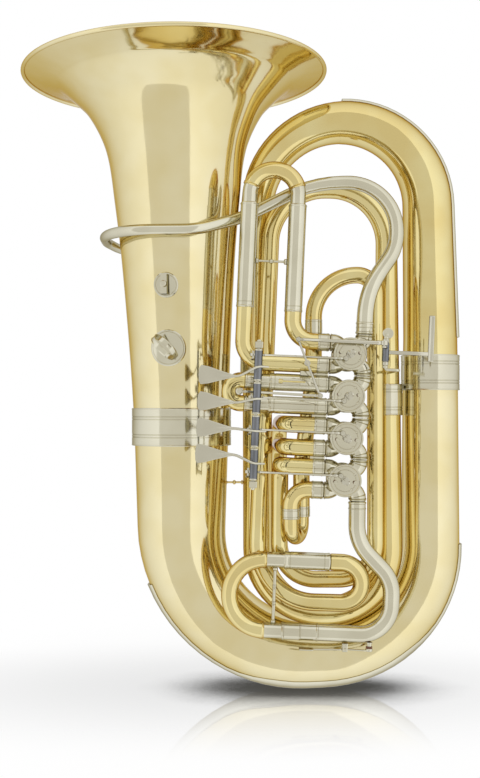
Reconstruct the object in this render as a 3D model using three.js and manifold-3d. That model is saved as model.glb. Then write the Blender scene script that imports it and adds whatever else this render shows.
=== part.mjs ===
// A four-valve rotary tuba in B flat, bell up, as an assembly of separate pieces.
// Millimetres, +Z up, +X to the viewer's right when the valves face the viewer, who looks along +Y.
import * as THREE from "three";
import { mergeVertices } from "three/addons/utils/BufferGeometryUtils.js";
import Module from "manifold-3d";

const wasm = await Module();
wasm.setup();

const degree = Math.PI / 180;
const gap = 0.3;
const overrun = 2;

// Bell
const bellRimRadius = 222.5;
const rimBead = 3;
const bellFootRadius = 70;
const bellLength = 523;
const bellWall = 1.6;
const bellLean = 1.1;
const bellX = -87;
const bellSides = 24;

// Bottom bow, from the bell's foot round to the outer branch
const branchSides = 12;
const branchSpan = 370;
const bowFootRadius = 70;
const bowLowRadius = 49;
const bowTopRadius = 40.5;
const bowBellBend = 185;
const bowOuterBend = 160;
const bellJointZ = 386;
const outerJointZ = 466;
const bowWall = 1.4;
const bowSides = 16;
const bowSteps = 20;

// Outer branch, over the top and down beside the bell
const archSpan = 250;
const archTopZ = 840;
const archLean = 7;
const archBend = 128;
const archTopRadius = 31.5;
const archEndRadius = 22;
const archLateRadius = 23;
const archWall = 1.2;
const secondJointZ = 470;
const archY = 12;

// Second bow, inside the bottom bow
const secondSpan = 191;
const secondBowZ = 118;
const secondBowY = -36;
const secondBend = 92;
const secondEndRadius = 20;
const secondEasing = 60;
const secondEaseShare = 0.7;
const thirdJointZ = 426;
const thirdJointY = -14;

// Inner branch, between the second bow and the main tuning slide
const innerSides = 10;
const innerTopZ = 736;
const innerLeftX = 47;
const innerLeftY = -20;
const innerRightX = 215;
const innerLowX = 22;
const innerLowY = -64;
const innerLowZ = 138;
const innerBowX = 171;
const innerBowBend = 30;
const innerLowBend = 82;
const innerTopBend = 82;
const innerThirdRadius = 18.5;
const innerTopRadius = 14;

// Ferrules
const ferruleWall = 1.4;
const bellFerruleLength = 55;
const outerFerruleLength = 52;
const smallFerruleLength = 46;
const ferrulePlay = 1;
const jointSlit = 0.8;

// Narrow tubing of the valve section and its slides
const slideRadius = 10.8;
const slideWall = 0.8;
const slideClearance = 0.5;
const sleeveWall = 0.8;
const sleeveRadius = slideRadius + slideClearance + sleeveWall;
const boreRadius = slideRadius - slideWall;
const bandStep = 0.9;
const mouthBand = 16.8;
const endBand = 14;
const outletBand = 53;
const barRadius = 2.2;
const tubeSides = 8;
const smallSides = 6;
const tubeSteps = 12;
const turnSteps = 8;
const wallShare = 0.93;

// Valves
const valveX = 152.4;
const valveY = -98;
const valveZ = 488;
const valveLean = 2.5;
const valvePitch = 58.3;
const valveCount = 4;
const casingRadius = 21.5;
const casingWall = 1.8;
const casingLength = 42;
const casingSides = 16;
const portOffset = 16;
const mainPortX = 20.5;
const portBend = 13;
const portReach = 27;
const capThickness = 4;
const capRimWidth = 1.4;
const backCapHeight = 7;
const rotorClearance = 0.5;
const passageBend = 15;
const stemRadius = 3.2;
const stemReach = 6.5;
const bumperRadius = 2.4;
const bumperAcrossShare = 1.35;
const bumperUpShare = 0.2;
const passageShare = 0.35;
const rimShare = 0.6;

// Stop arms, rods and levers
const pinRadius = 1.6;
const pinOrbit = 10;
const armThickness = 2.6;
const armWidth = 6.4;
const armNeckShare = 0.7;
const armFrontShare = 0.45;
const rodRadius = 1.5;
const rodEndRadius = 3.6;
const rodPlay = 1.4;
const eyeWall = 1.6;
const shaftShare = 0.6;
const axleX = -127;
const axleY = -58;
const axleTopZ = 8;
const axleRadius = 2.1;
const axleInset = 1;
const barrelRadius = 5.6;
const barrelPitch = 44.6;
const barrelGap = 1.2;
const crankLength = 28;
const eyeShare = 0.6;
const crankThickness = 2.4;
const paddlePitch = 35;
const paddleX = -207;
const paddleTopZ = -39;
const paddleLength = 42;
const paddleWide = 28;
const paddleNarrow = 15;
const paddleThickness = 2.2;
const paddleNeckShare = 0.7;
const paddleEdgeShare = 0.35;
const leverEndShare = 0.75;
const leverKneeShare = 0.55;
const leverKneeBend = 12;
const leverBackShare = 0.4;
const leverPressShare = 0.35;
const leverRodRadius = 2.2;
const blockSize = 11;
const blockHeight = 9;
const postRadius = 3;

// First slide, upright
const firstInnerX = -80.5;
const firstOuterX = -148;
const firstBend = 30;
const firstSleeveTop = 207;
const firstSlideFoot = 80;
const firstBowTop = 254;
const firstBraceZ = 126;

// Second slide, across
const secondSleeveEnd = -110;
const secondSlideFoot = -52;
const secondBowX = -148.5;
const secondBraceReach = 12;

// Third slide, behind the instrument
const thirdElbowX = -85;
const thirdElbowBend = 20;
const thirdNearBend = 22;
const thirdFarBend = 26;
const thirdBraceRise = 14;
const thirdNearY = 168;
const thirdFarY = 206;
const thirdSleeveFoot = -236;
const thirdBowZ = -316;
const thirdSlideTop = -160;

// Fourth slide and the long loop that it belongs to
const fourthElbowX = -88;
const fourthDropX = -73;
const fourthDropBend = 24;
const fourthSleeveFoot = 258;
const fourthBowZ = 251;
const fourthSlideTop = 270;
const loopY = -61;
const loopLeftX = 56;
const loopRightX = 194;
const loopLowZ = 168;
const loopTopZ = 604;
const loopDownX = 105.5;
const loopFootX = 88;
const loopFootZ = 330;
const loopElbowBend = 18;
const loopLowBend = 52;
const loopTopRightBend = 26;
const loopTopBend = 61;
const loopEaseZ = 460;
const loopEaseBend = 60;
const fourthSlideStep = 24;

// Main tuning slide
const tuningUpperZ = -291;
const tuningLowerZ = -390;
const tuningMouthX = -78;
const tuningUpperEnd = -13.5;
const tuningFootX = -26;
const tuningBowX = -103;
const tuningBraceInset = 12;
const tuningBraceRadius = 2.4;
const outletBowX = 74;
const outletDrift = 2;
const outletEaseZ = -262;
const outletEaseBend = 60;
const outletBowZ = -312;
const outletBowBend = 50;
const outletFootBend = 42;

// Leadpipe and mouthpiece receiver
const leadTipRadius = 6.6;
const leadWall = 0.9;
const leadPassZ = 662;
const leadFall = 2;
const leadTurns = [118, 150];
const leadSideShare = 0.9;
const leadHoopShares = [
  [-1.02, 0, 0.5],
  [-0.98, -0.99, 0.75],
  [0.3, -1.04, 0.6],
];
const leadShoulder = { x: 6, z: 685.5, bend: 90 };
const leadCrest = { x: 103.4, z: 734.2, bend: 172 };
const leadRight = { x: 221.2, inset: 6.7, bend: 69 };
const leadDrop = { z: 640, inset: 12.7, bend: 68 };
const leadRise = { z: 90, bend: 112 };
const leadCrestRadius = 9.1;
const leadBellGap = 5;
const leadSlideGap = 3.5;
const receiverLength = 62;
const receiverMouth = 10.2;
const receiverTip = 8.2;
const receiverBore = 6.2;
const receiverFlare = 0.8;
const receiverStep = 1;
const receiverSides = 14;

// Guards
const guardThickness = 2.6;
const guardGap = 0.9;
const guardHalfAngle = 26;
const footHalfAngle = 42;
const arcSteps = 4;
const bowGuardShares = [0.2, 0.76];
const branchGuardShares = [0.03, 0.52];

// Trigger of the second slide
const triggerX = 48;
const triggerTurn = 27 * degree;
const triggerHeight = 36;
const triggerReach = 62;
const thumbHeight = 64;
const thumbWidth = 8;
const triggerCrank = 22;
const triggerArmRadius = 2;
const triggerBarrelWall = 2.2;
const triggerPinReach = 3;
const thumbRiseShare = 0.33;
const thumbDepthShare = 0.6;
const bracketDrop = 6;
const bracketRise = 3;
const bracketBend = 4;
const rockerX = -60;
const rockerUpper = 34.4;
const rockerLower = 48;
const rockerDriftX = 15;
const rockerThickness = 2.4;
const rockerWidth = 3.6;
const rockerHubWall = 1;
const rockerPinHead = 1;
const rockerPostRadius = 2.6;
const linkRadius = 3.4;
const looseGap = 1.4;
const looseWall = 2;
const studReach = 2.5;

// Water key
const keyPivotX = 12;
const keyDrop = 22;
const keyReach = 54;
const keyCorkX = 34;
const corkRadius = 5;
const nippleRadius = 3.4;
const nippleHeight = 4;
const nippleRise = 3.2;
const corkHeight = 4;
const keyThickness = 2.2;
const keyWidth = 6;
const keyPinRadius = 1.5;
const keyBarrelRadius = 3.4;
const cheekThickness = 1.8;
const fingerLength = 20;
const fingerWidth = 14;
const cheekReach = 0.8;
const keyArmShare = 0.7;
const cupShare = 1.5;
const drainShare = 0.6;

// Bell fittings
const lyrePlateZ = 588;
const lyrePlateRadius = 18;
const strapPlateZ = 499;
const strapPlateRadius = 26;
const plateThickness = 1.8;
const plateLift = 1.1;
const fittingSink = 1.2;
const lyreTurn = -10;
const strapTurn = -10;
const holderWidth = 9;
const holderHeight = 28;
const holderWall = 1.4;
const holderLift = 3;
const knobRadius = 4.5;
const knobShare = 1.5;
const plateSides = 16;
const ringRadius = 19;
const ringWire = 2.4;
const ringWidth = 8;
const ringSlant = 48;
const ringSides = 20;

// Colours and finish
const brass = metal(0xd2bb76, 0.16);
const nickel = metal(0xcfc9bd, 0.2);
const steel = metal(0x9aa0a6, 0.28);

function metal(color, roughness) {
  return new THREE.MeshStandardMaterial({ color, roughness, metalness: 1 });
}

const sectionY = new THREE.Vector3(0, 1, 0);
const up = new THREE.Vector3(0, 0, 1);
const tuba = new THREE.Group();
const valveSection = new THREE.Group();
valveSection.position.set(valveX, valveY, valveZ);
valveSection.rotation.y = valveLean * degree;
tuba.add(valveSection);
tuba.updateMatrixWorld(true);

function add(name, geometry, material, parent = tuba, place = [0, 0, 0]) {
  const mesh = new THREE.Mesh(geometry, material);
  mesh.name = name;
  mesh.position.set(...place);
  parent.add(mesh);
  return mesh;
}

// A point of the valve section, given in the tuba's own frame.
function outOfSection(x, y, z) {
  return valveSection.localToWorld(new THREE.Vector3(x, y, z));
}

// A point of the tuba's frame, given in the valve section.
function intoSection(x, y, z) {
  return valveSection.worldToLocal(new THREE.Vector3(x, y, z));
}

// Turns a line of corners, each [point, bend radius], into a smooth route with its distances and frames.
// A point without a radius is passed straight through.
function route(corners, start = sectionY, stepsPerTurn = tubeSteps) {
  const at = corners.map(([p]) => (p.isVector3 ? p.clone() : new THREE.Vector3(...p)));
  const points = [at[0]];
  for (let i = 1; i < at.length - 1; i += 1) {
    const back = at[i - 1].clone().sub(at[i]).normalize();
    const on = at[i + 1].clone().sub(at[i]).normalize();
    const turn = Math.PI - back.angleTo(on);
    const bend = corners[i][1];
    if (!bend) {
      points.push(at[i]);
      continue;
    }
    const reach = bend * Math.tan(turn / 2);
    const centre = back.clone().add(on).normalize();
    centre.multiplyScalar(bend / Math.cos(turn / 2)).add(at[i]);
    const from = at[i].clone().addScaledVector(back, reach).sub(centre);
    const axis = new THREE.Vector3().crossVectors(on, back).normalize();
    const steps = Math.max(1, Math.round((turn / (2 * Math.PI)) * stepsPerTurn));
    for (let k = 0; k <= steps; k += 1) {
      points.push(from.clone().applyAxisAngle(axis, (turn * k) / steps).add(centre));
    }
  }
  points.push(at[at.length - 1]);
  return frames(points, start);
}

// Gives each point of a line its distance along it, its direction and a cross frame that doesn't twist.
// At a fold a section is widened across it, so that the tube keeps its thickness on both sides.
function frames(points, start) {
  const stations = [];
  let length = 0;
  points.forEach((p, i) => {
    const before = points[Math.max(i - 1, 0)];
    const after = points[Math.min(i + 1, points.length - 1)];
    const tangent = after.clone().sub(before).normalize();
    length += p.distanceTo(before);
    let across;
    if (i === 0) {
      across = start.clone().addScaledVector(tangent, -start.dot(tangent));
      if (across.length() < 0.1) across = new THREE.Vector3(1, 0, 0);
    } else {
      const last = stations[i - 1];
      const turn = new THREE.Quaternion().setFromUnitVectors(last.tangent, tangent);
      across = last.across.clone().applyQuaternion(turn);
    }
    across.addScaledVector(tangent, -across.dot(tangent)).normalize();
    const side = new THREE.Vector3().crossVectors(tangent, across);
    const fold = after.clone().sub(p).normalize().sub(p.clone().sub(before).normalize());
    const sine = i === 0 || i === points.length - 1 ? 0 : fold.length() / 2;
    const widen = 1 / Math.sqrt(1 - sine * sine) - 1;
    stations.push({ p, tangent, across, side, s: length, fold: fold.normalize(), widen });
  });
  return stations;
}

// The station at a distance along a route, on the straight between its neighbours.
function stationAt(stations, s) {
  let i = 1;
  while (i < stations.length - 1 && stations[i].s < s) i += 1;
  const a = stations[i - 1];
  const b = stations[i];
  const share = (s - a.s) / (b.s - a.s);
  const straight = b.p.clone().sub(a.p).normalize();
  const p = a.p.clone().lerp(b.p, share);
  return { p, tangent: straight, across: a.across, side: a.side, s, fold: straight, widen: 0 };
}

// Adds stations where a band starts and ends, twice each, so that its edge is square.
function withBands(stations, bands) {
  const length = stations[stations.length - 1].s;
  const marks = bands.flatMap(([from, to]) => [from, to]).map((s) => (s < 0 ? length + s : s));
  const inner = marks.filter((s) => s > gap && s < length - gap);
  const doubled = inner.flatMap((s) => [
    { ...stationAt(stations, s), before: true },
    { ...stationAt(stations, s), after: true },
  ]);
  return [...stations, ...doubled].sort((a, b) => a.s - b.s || (a.before ? -1 : 1));
}

// A closed surface from rings of points: one ring after another, the last joined to the first or capped.
function skin(rings, closed) {
  const count = rings[0].length;
  const positions = rings.flat().flatMap((v) => [v.x, v.y, v.z]);
  const index = [];
  const pairs = closed ? rings.length : rings.length - 1;
  for (let r = 0; r < pairs; r += 1) {
    const a = r * count;
    const b = ((r + 1) % rings.length) * count;
    for (let i = 0; i < count; i += 1) {
      const j = (i + 1) % count;
      index.push(a + i, a + j, b + j, a + i, b + j, b + i);
    }
  }
  if (!closed) {
    const last = (rings.length - 1) * count;
    for (let i = 1; i < count - 1; i += 1) {
      index.push(0, i + 1, i);
      index.push(last, last + i, last + i + 1);
    }
  }
  const geometry = new THREE.BufferGeometry();
  geometry.setAttribute("position", new THREE.Float32BufferAttribute(positions, 3));
  geometry.setIndex(index);
  return geometry;
}

// The point of a station's section at an angle and a radius.
function around(station, angle, radius) {
  const offset = new THREE.Vector3()
    .addScaledVector(station.across, radius * Math.cos(angle))
    .addScaledVector(station.side, radius * Math.sin(angle));
  return offset.addScaledVector(station.fold, offset.dot(station.fold) * station.widen).add(station.p);
}

function ring(station, radius, sides) {
  return Array.from({ length: sides }, (_, i) => around(station, (2 * Math.PI * i) / sides, radius));
}

// Radius along a route from pairs of [share of the length, radius].
function taper(pairs, length) {
  return (s) => {
    const share = s / length;
    let i = 1;
    while (i < pairs.length - 1 && pairs[i][0] < share) i += 1;
    const [s0, r0] = pairs[i - 1];
    const [s1, r1] = pairs[i];
    return r0 + ((r1 - r0) * (share - s0)) / (s1 - s0);
  };
}

function lengthOf(stations) {
  return stations[stations.length - 1].s;
}

// An open tube along a route. Its outside may carry bands that stand proud of it.
function tube(stations, radius, bore, sides = tubeSides, bands = []) {
  const radiusAt = typeof radius === "function" ? radius : () => radius;
  const boreAt = typeof bore === "function" ? bore : () => bore;
  const length = lengthOf(stations);
  const marks = bands.map(([from, to]) => [from, to].map((s) => (s < 0 ? length + s : s)));
  const outside = withBands(stations, bands).map((station) => {
    const s = station.s + (station.before ? -gap : 0) + (station.after ? gap : 0);
    const proud = marks.some(([from, to]) => s >= from && s <= to) ? bandStep : 0;
    return ring(station, radiusAt(station.s) + proud, sides);
  });
  const inside = stations.map((station) => ring(station, boreAt(station.s), sides)).reverse();
  return skin([...outside, ...inside], true);
}

function rod(stations, radius, sides = tubeSides) {
  const radiusAt = typeof radius === "function" ? radius : () => radius;
  return skin(stations.map((station) => ring(station, radiusAt(station.s), sides)), false);
}

function straightRod(from, to, radius, sides = tubeSides) {
  return rod(route([[from], [to]]), radius, sides);
}

// Turned piece about +Z from [radius, height] pairs that close on themselves or end on the axis.
function turned(profile, sides) {
  const geometry = new THREE.LatheGeometry(profile.map(([r, z]) => new THREE.Vector2(r, z)), sides);
  geometry.rotateX(Math.PI / 2);
  return clean(geometry);
}

function box(width, depth, height, x, y, z) {
  return clean(new THREE.BoxGeometry(width, depth, height).translate(x, y, z));
}

function plate(outline, thickness) {
  const shape = new THREE.Shape(outline.map(([x, y]) => new THREE.Vector2(x, y)));
  const geometry = new THREE.ExtrudeGeometry(shape, { depth: thickness, bevelEnabled: false });
  return clean(geometry);
}

function clean(geometry) {
  geometry.deleteAttribute("normal");
  geometry.deleteAttribute("uv");
  return mergeVertices(geometry, 1e-4);
}

function solid(geometry) {
  const merged = mergeVertices(geometry, 1e-4);
  const mesh = new wasm.Mesh({
    numProp: 3,
    vertProperties: new Float32Array(merged.attributes.position.array),
    triVerts: new Uint32Array(merged.index.array),
  });
  return new wasm.Manifold(mesh);
}

function surface(made) {
  const mesh = made.getMesh();
  const positions = [];
  for (let i = 0; i < mesh.numVert; i += 1) {
    positions.push(...mesh.vertProperties.slice(i * mesh.numProp, i * mesh.numProp + 3));
  }
  const geometry = new THREE.BufferGeometry();
  geometry.setAttribute("position", new THREE.Float32BufferAttribute(positions, 3));
  geometry.setIndex(Array.from(mesh.triVerts));
  return geometry;
}

function join(first, ...others) {
  return surface(others.reduce((whole, next) => whole.add(solid(next)), solid(first)));
}

function cut(first, ...others) {
  return surface(others.reduce((whole, next) => whole.subtract(solid(next)), solid(first)));
}

// Disc or drum whose axis runs along Y from one depth to another.
function drum(radius, fromY, toY, sides = casingSides, x = 0, z = 0) {
  return straightRod([x, fromY, z], [x, toY, z], radius, sides);
}

// Bell: spun in one piece, leaning a little to the left over its foot
const bellFootZ = bellJointZ + jointSlit / 2 + bellFootRadius * Math.sin(bellLean * degree);
const flareShares = [
  [0, 0],
  [0.03, 0.2],
  [0.093, 0.475],
  [0.152, 0.647],
  [0.195, 0.75],
  [0.262, 0.819],
  [0.386, 0.888],
  [0.515, 0.929],
  [0.65, 0.963],
  [0.72, 0.974],
  [0.81, 0.983],
  [0.905, 0.991],
];
const flareSpan = bellRimRadius - bellFootRadius;
const bellTopZ = bellLength - rimBead;
const bellOutside = flareShares.map(([r, z]) => [bellFootRadius + flareSpan * r, bellTopZ * z]);
const bellInside = bellOutside.map(([r, z]) => [r - bellWall, z + bellWall * (r / bellRimRadius)]);
bellInside[0][1] = 0;
const rimProfile = [
  [bellRimRadius, bellTopZ - rimBead],
  [bellRimRadius + rimBead, bellTopZ],
  [bellRimRadius, bellTopZ + rimBead],
  [bellRimRadius - rimBead, bellTopZ],
];
const bellLoop = [...bellOutside, ...rimProfile, ...bellInside.reverse()];
const bell = add("bell", turned([...bellLoop, bellLoop[0]], bellSides), brass);
bell.position.set(bellX, 0, bellFootZ);
bell.rotation.y = -bellLean * degree;

// The bell's outside radius at a height above its foot.
function bellRadiusAt(height) {
  const pairs = flareShares.map(([r, z]) => [z, bellFootRadius + flareSpan * r]);
  return taper(pairs, bellTopZ)(height);
}

// The bell's axis at a height of the tuba's frame.
function bellAxisAt(z) {
  return bellX - (z - bellFootZ) * Math.tan(bellLean * degree);
}

// Bottom bow
const bowLowZ = guardThickness + guardGap + bowLowRadius;
const outerX = bellX + branchSpan;
const bowRoute = route([
  [[bellX, 0, bellJointZ - jointSlit / 2]],
  [[bellX, 0, bowLowZ], bowBellBend],
  [[outerX, 0, bowLowZ], bowOuterBend],
  [[outerX, 0, outerJointZ - jointSlit / 2]],
], sectionY, bowSteps);
const bowTaper = taper(
  [
    [0, bowFootRadius],
    [0.17, (bowFootRadius * 3 + bowLowRadius) / 4],
    [0.5, bowLowRadius],
    [0.75, (bowTopRadius * 3 + bowLowRadius) / 4],
    [1, bowTopRadius],
  ],
  lengthOf(bowRoute),
);
add("bottom_bow", tube(bowRoute, bowTaper, (s) => bowTaper(s) - bowWall, bowSides), brass);

// Outer branch
const archRightX = outerX - archLean;
const archLeftX = archRightX - archSpan;
const archRoute = route([
  [[outerX, 0, outerJointZ + jointSlit / 2]],
  [[outerX, 0, outerJointZ + outerFerruleLength]],
  [[archRightX, 0, archTopZ], archBend],
  [[archLeftX, archY, archTopZ], archBend],
  [[archLeftX, archY, secondJointZ + jointSlit / 2]],
], sectionY, bowSteps);
const archTaper = taper(
  [
    [0, bowTopRadius],
    [0.33, (bowTopRadius + archTopRadius) / 2],
    [0.5, archTopRadius],
    [0.75, archLateRadius],
    [1, archEndRadius],
  ],
  lengthOf(archRoute),
);
add("outer_branch", tube(archRoute, archTaper, (s) => archTaper(s) - archWall, bowSides), brass);

// Second bow
const secondRightX = archLeftX + secondSpan;
const secondEase = smallFerruleLength * secondEaseShare;
const secondRoute = route([
  [[archLeftX, archY, secondJointZ - jointSlit / 2]],
  [[archLeftX, archY, secondJointZ - secondEase], secondEasing],
  [[archLeftX, secondBowY, secondBowZ], secondBend],
  [[secondRightX, secondBowY, secondBowZ], secondBend],
  [[secondRightX, thirdJointY, thirdJointZ - secondEase], secondEasing],
  [[secondRightX, thirdJointY, thirdJointZ - jointSlit / 2]],
]);
const secondTaper = taper(
  [
    [0, archEndRadius],
    [1, secondEndRadius],
  ],
  lengthOf(secondRoute),
);
const secondBore = (s) => secondTaper(s) - archWall;
add("second_bow", tube(secondRoute, secondTaper, secondBore, branchSides), brass);

// Inner branch: from the third joint over the inner top and down to the main tuning slide's upper leg
const innerEnd = outOfSection(tuningUpperEnd + jointSlit / 2, 0, tuningUpperZ);
const innerTurnX = innerBowX - valveX - tuningUpperZ * Math.sin(valveLean * degree);
const innerTurn = outOfSection(innerTurnX, 0, tuningUpperZ);
const innerRoute = route([
  [[secondRightX, thirdJointY, thirdJointZ + jointSlit / 2]],
  [[innerRightX, innerLeftY, innerTopZ], innerTopBend],
  [[innerLeftX, innerLeftY, innerTopZ], innerTopBend],
  [[innerLowX, innerLowY, innerLowZ], innerLowBend],
  [[innerTurn.x, valveY + slideRadius, innerLowZ], innerBowBend],
  [innerTurn, innerBowBend],
  [innerEnd],
]);
const innerTaper = taper(
  [
    [0, innerThirdRadius],
    [0.32, innerTopRadius],
    [0.6, (innerTopRadius + sleeveRadius) / 2],
    [1, sleeveRadius],
  ],
  lengthOf(innerRoute),
);
add("inner_branch", tube(innerRoute, innerTaper, (s) => innerTaper(s) - archWall, innerSides), brass);

// A ferrule: a plain ring soldered over a joint between two tubes
function ferrule(name, at, along, radius, length, sides) {
  const half = along.clone().normalize().multiplyScalar(length / 2);
  const line = route([[at.clone().sub(half)], [at.clone().add(half)]]);
  const inner = radius + gap;
  add(name, tube(line, inner + ferruleWall, inner, sides), nickel);
}
const bellFerruleAt = new THREE.Vector3(bellX, 0, bellJointZ);
const bellFerruleHalf = bellFerruleLength / 2;
const bellDrift = bellFerruleHalf * Math.tan(bellLean * degree);
const bellFerruleInner = bellRadiusAt(bellFerruleHalf) + bellDrift + gap;
ferrule("bell_ferrule", bellFerruleAt, up, bellFerruleInner, bellFerruleLength, bellSides);
const outerFerruleAt = new THREE.Vector3(outerX, 0, outerJointZ);
const secondFerruleAt = new THREE.Vector3(archLeftX, archY, secondJointZ);
const thirdFerruleAt = new THREE.Vector3(secondRightX, thirdJointY, thirdJointZ);
const secondFerruleInner = archEndRadius + ferrulePlay * 2;
const thirdFerruleInner = secondEndRadius + ferrulePlay;
ferrule("outer_ferrule", outerFerruleAt, up, bowTopRadius + ferrulePlay, outerFerruleLength, bowSides);
ferrule("second_ferrule", secondFerruleAt, up, secondFerruleInner, smallFerruleLength, branchSides);
ferrule("third_ferrule", thirdFerruleAt, up, thirdFerruleInner, smallFerruleLength, branchSides);

// Guards: strips laid on the outside of the bends. A section is an arc round the tube's own axis.
function guard(stations, radiusAt, [fromShare, toShare], angleAt) {
  const length = lengthOf(stations);
  const kept = stations.filter((st) => st.s > fromShare * length && st.s < toShare * length);
  const rings = kept.map((station) => {
    const half = angleAt(station.s / length) * degree;
    const inner = radiusAt(station.s) + guardGap;
    const outer = inner + guardThickness;
    const line = [];
    for (let i = -arcSteps; i <= arcSteps; i += 2) {
      line.push(around(station, -Math.PI / 2 - (half * i) / arcSteps, outer));
    }
    for (let i = arcSteps; i >= -arcSteps; i -= 2) {
      const reach = inner / Math.cos(half / arcSteps);
      line.push(around(station, -Math.PI / 2 - (half * i) / arcSteps, reach));
    }
    return line.reverse();
  });
  return skin(rings, false);
}
const bowGuardAngle = taper(
  [
    [0, guardHalfAngle],
    [0.36, guardHalfAngle],
    [0.41, footHalfAngle],
    [0.59, footHalfAngle],
    [0.64, guardHalfAngle],
    [1, guardHalfAngle],
  ],
  1,
);
const branchGuard = guard(archRoute, archTaper, branchGuardShares, () => guardHalfAngle);
add("bow_guard", guard(bowRoute, bowTaper, bowGuardShares, bowGuardAngle), nickel);
add("branch_guard", branchGuard, nickel);

// Valves
function portRoutes(extra) {
  const mainReach = valvePitch / 2 - jointSlit / 2 + extra;
  const sideReach = -portReach - extra;
  const turns = [
    [[0, 0], [mainPortX, mainPortX], [mainPortX, mainReach]],
    [[0, 0], [mainPortX, -mainPortX], [mainPortX, -mainReach]],
    [[0, 0], [-portOffset, portOffset], [sideReach, portOffset]],
    [[0, 0], [-portOffset, -portOffset], [sideReach, -portOffset]],
  ];
  return turns.map((corners) => route(corners.map(([x, z]) => [[x, 0, z], portBend]), sectionY, turnSteps));
}
function casing() {
  const half = casingLength / 2;
  const stubs = portRoutes(0).map((line) => rod(line, sleeveRadius, tubeSides));
  const bores = portRoutes(overrun).map((line) => rod(line, boreRadius, tubeSides));
  const inner = drum(casingRadius - casingWall, -half - overrun, half + overrun);
  return cut(join(drum(casingRadius, -half, half), ...stubs), inner, ...bores);
}

// Rotor: a solid drum with two bent passages, and a stem at the front that carries the stop arm
const armFront = -casingLength / 2 - capThickness - gap * 2 - stemReach * armFrontShare;
const armTip = armFront - armThickness;
function rotor(pinSide) {
  const radius = casingRadius - casingWall - rotorClearance;
  const half = casingLength / 2 - gap;
  const reach = (radius + overrun) * Math.SQRT1_2;
  const passage = (side) => {
    const middle = side * boreRadius * passageShare;
    const end = side * reach;
    const line = route([[[end, 0, reach]], [[middle, 0, 0], passageBend], [[end, 0, -reach]]]);
    return rod(line, boreRadius, tubeSides);
  };
  const x = -pinOrbit * Math.SQRT1_2;
  const z = -pinSide * pinOrbit * Math.SQRT1_2;
  const strip = box(pinOrbit, armThickness, armWidth * armNeckShare, 0, 0, 0)
    .rotateY(pinSide * -45 * degree)
    .translate(x / 2, armFront - armThickness / 2, z / 2);
  const whole = join(
    drum(radius, -half, half),
    drum(stemRadius, armFront, -half + overrun, smallSides),
    drum(stemRadius * 2 - pinRadius, armTip, armFront, tubeSides),
    drum(armWidth / 2, armTip, armFront, smallSides, x, z),
    strip,
    drum(pinRadius, armTip - rodEndRadius * 2, armFront, smallSides, x, z),
  );
  return cut(whole, passage(1), passage(-1));
}

// Front plate: screwed on the casing, with a rim, two bumper posts and a hole for the stem
function frontCap(pinSide) {
  const front = -casingLength / 2 - gap;
  const face = front - capThickness;
  const disc = drum(casingRadius + capRimWidth, face, front);
  const acrossX = pinOrbit * bumperAcrossShare;
  const upZ = pinSide * pinOrbit * bumperUpShare;
  const posts = [-acrossX, acrossX].map((x) =>
    drum(bumperRadius, face - stemReach, front - overrun, smallSides, x, upZ),
  );
  const hole = drum(stemRadius + rotorClearance + gap, face - overrun, front + overrun, tubeSides);
  return cut(join(disc, ...posts), hole);
}
function backCap() {
  const rim = casingRadius + capRimWidth;
  const dome = [
    [0, 0],
    [rim, 0],
    [rim, backCapHeight * rimShare],
    [casingRadius - casingWall, backCapHeight],
    [0, backCapHeight],
  ];
  return turned(dome, casingSides).rotateX(-Math.PI / 2).translate(0, casingLength / 2 + gap, 0);
}

// Connecting rod, from the pin of a stop arm to the crank of a lever
const rodY = armTip - rodEndRadius - gap;
const eyeHalf = rodEndRadius * eyeShare;
const eyeBore = pinRadius + rodPlay;
function connectingRod(reachX, reachY) {
  const farFrom = [reachX, reachY, -eyeHalf];
  const farTo = [reachX, reachY, eyeHalf];
  const shaftFrom = [-rodEndRadius * shaftShare, 0, 0];
  const shaft = straightRod(shaftFrom, [reachX + eyeBore, reachY, 0], rodRadius, smallSides);
  const whole = join(
    drum(rodEndRadius, -rodEndRadius, rodEndRadius, smallSides),
    straightRod(farFrom, farTo, eyeBore + eyeWall),
    shaft,
  );
  const below = [reachX, reachY, -eyeHalf - overrun];
  const above = [reachX, reachY, eyeHalf + overrun];
  return cut(
    whole,
    drum(pinRadius + gap, -rodEndRadius - overrun, rodEndRadius + overrun, smallSides),
    straightRod(below, above, eyeBore),
  );
}

// Lever: barrel on the axle, paddle arm to the left, crank behind with the rod's pin
const leverTurn = 2 * Math.asin((pinOrbit * Math.SQRT2) / 2 / crankLength);
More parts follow.
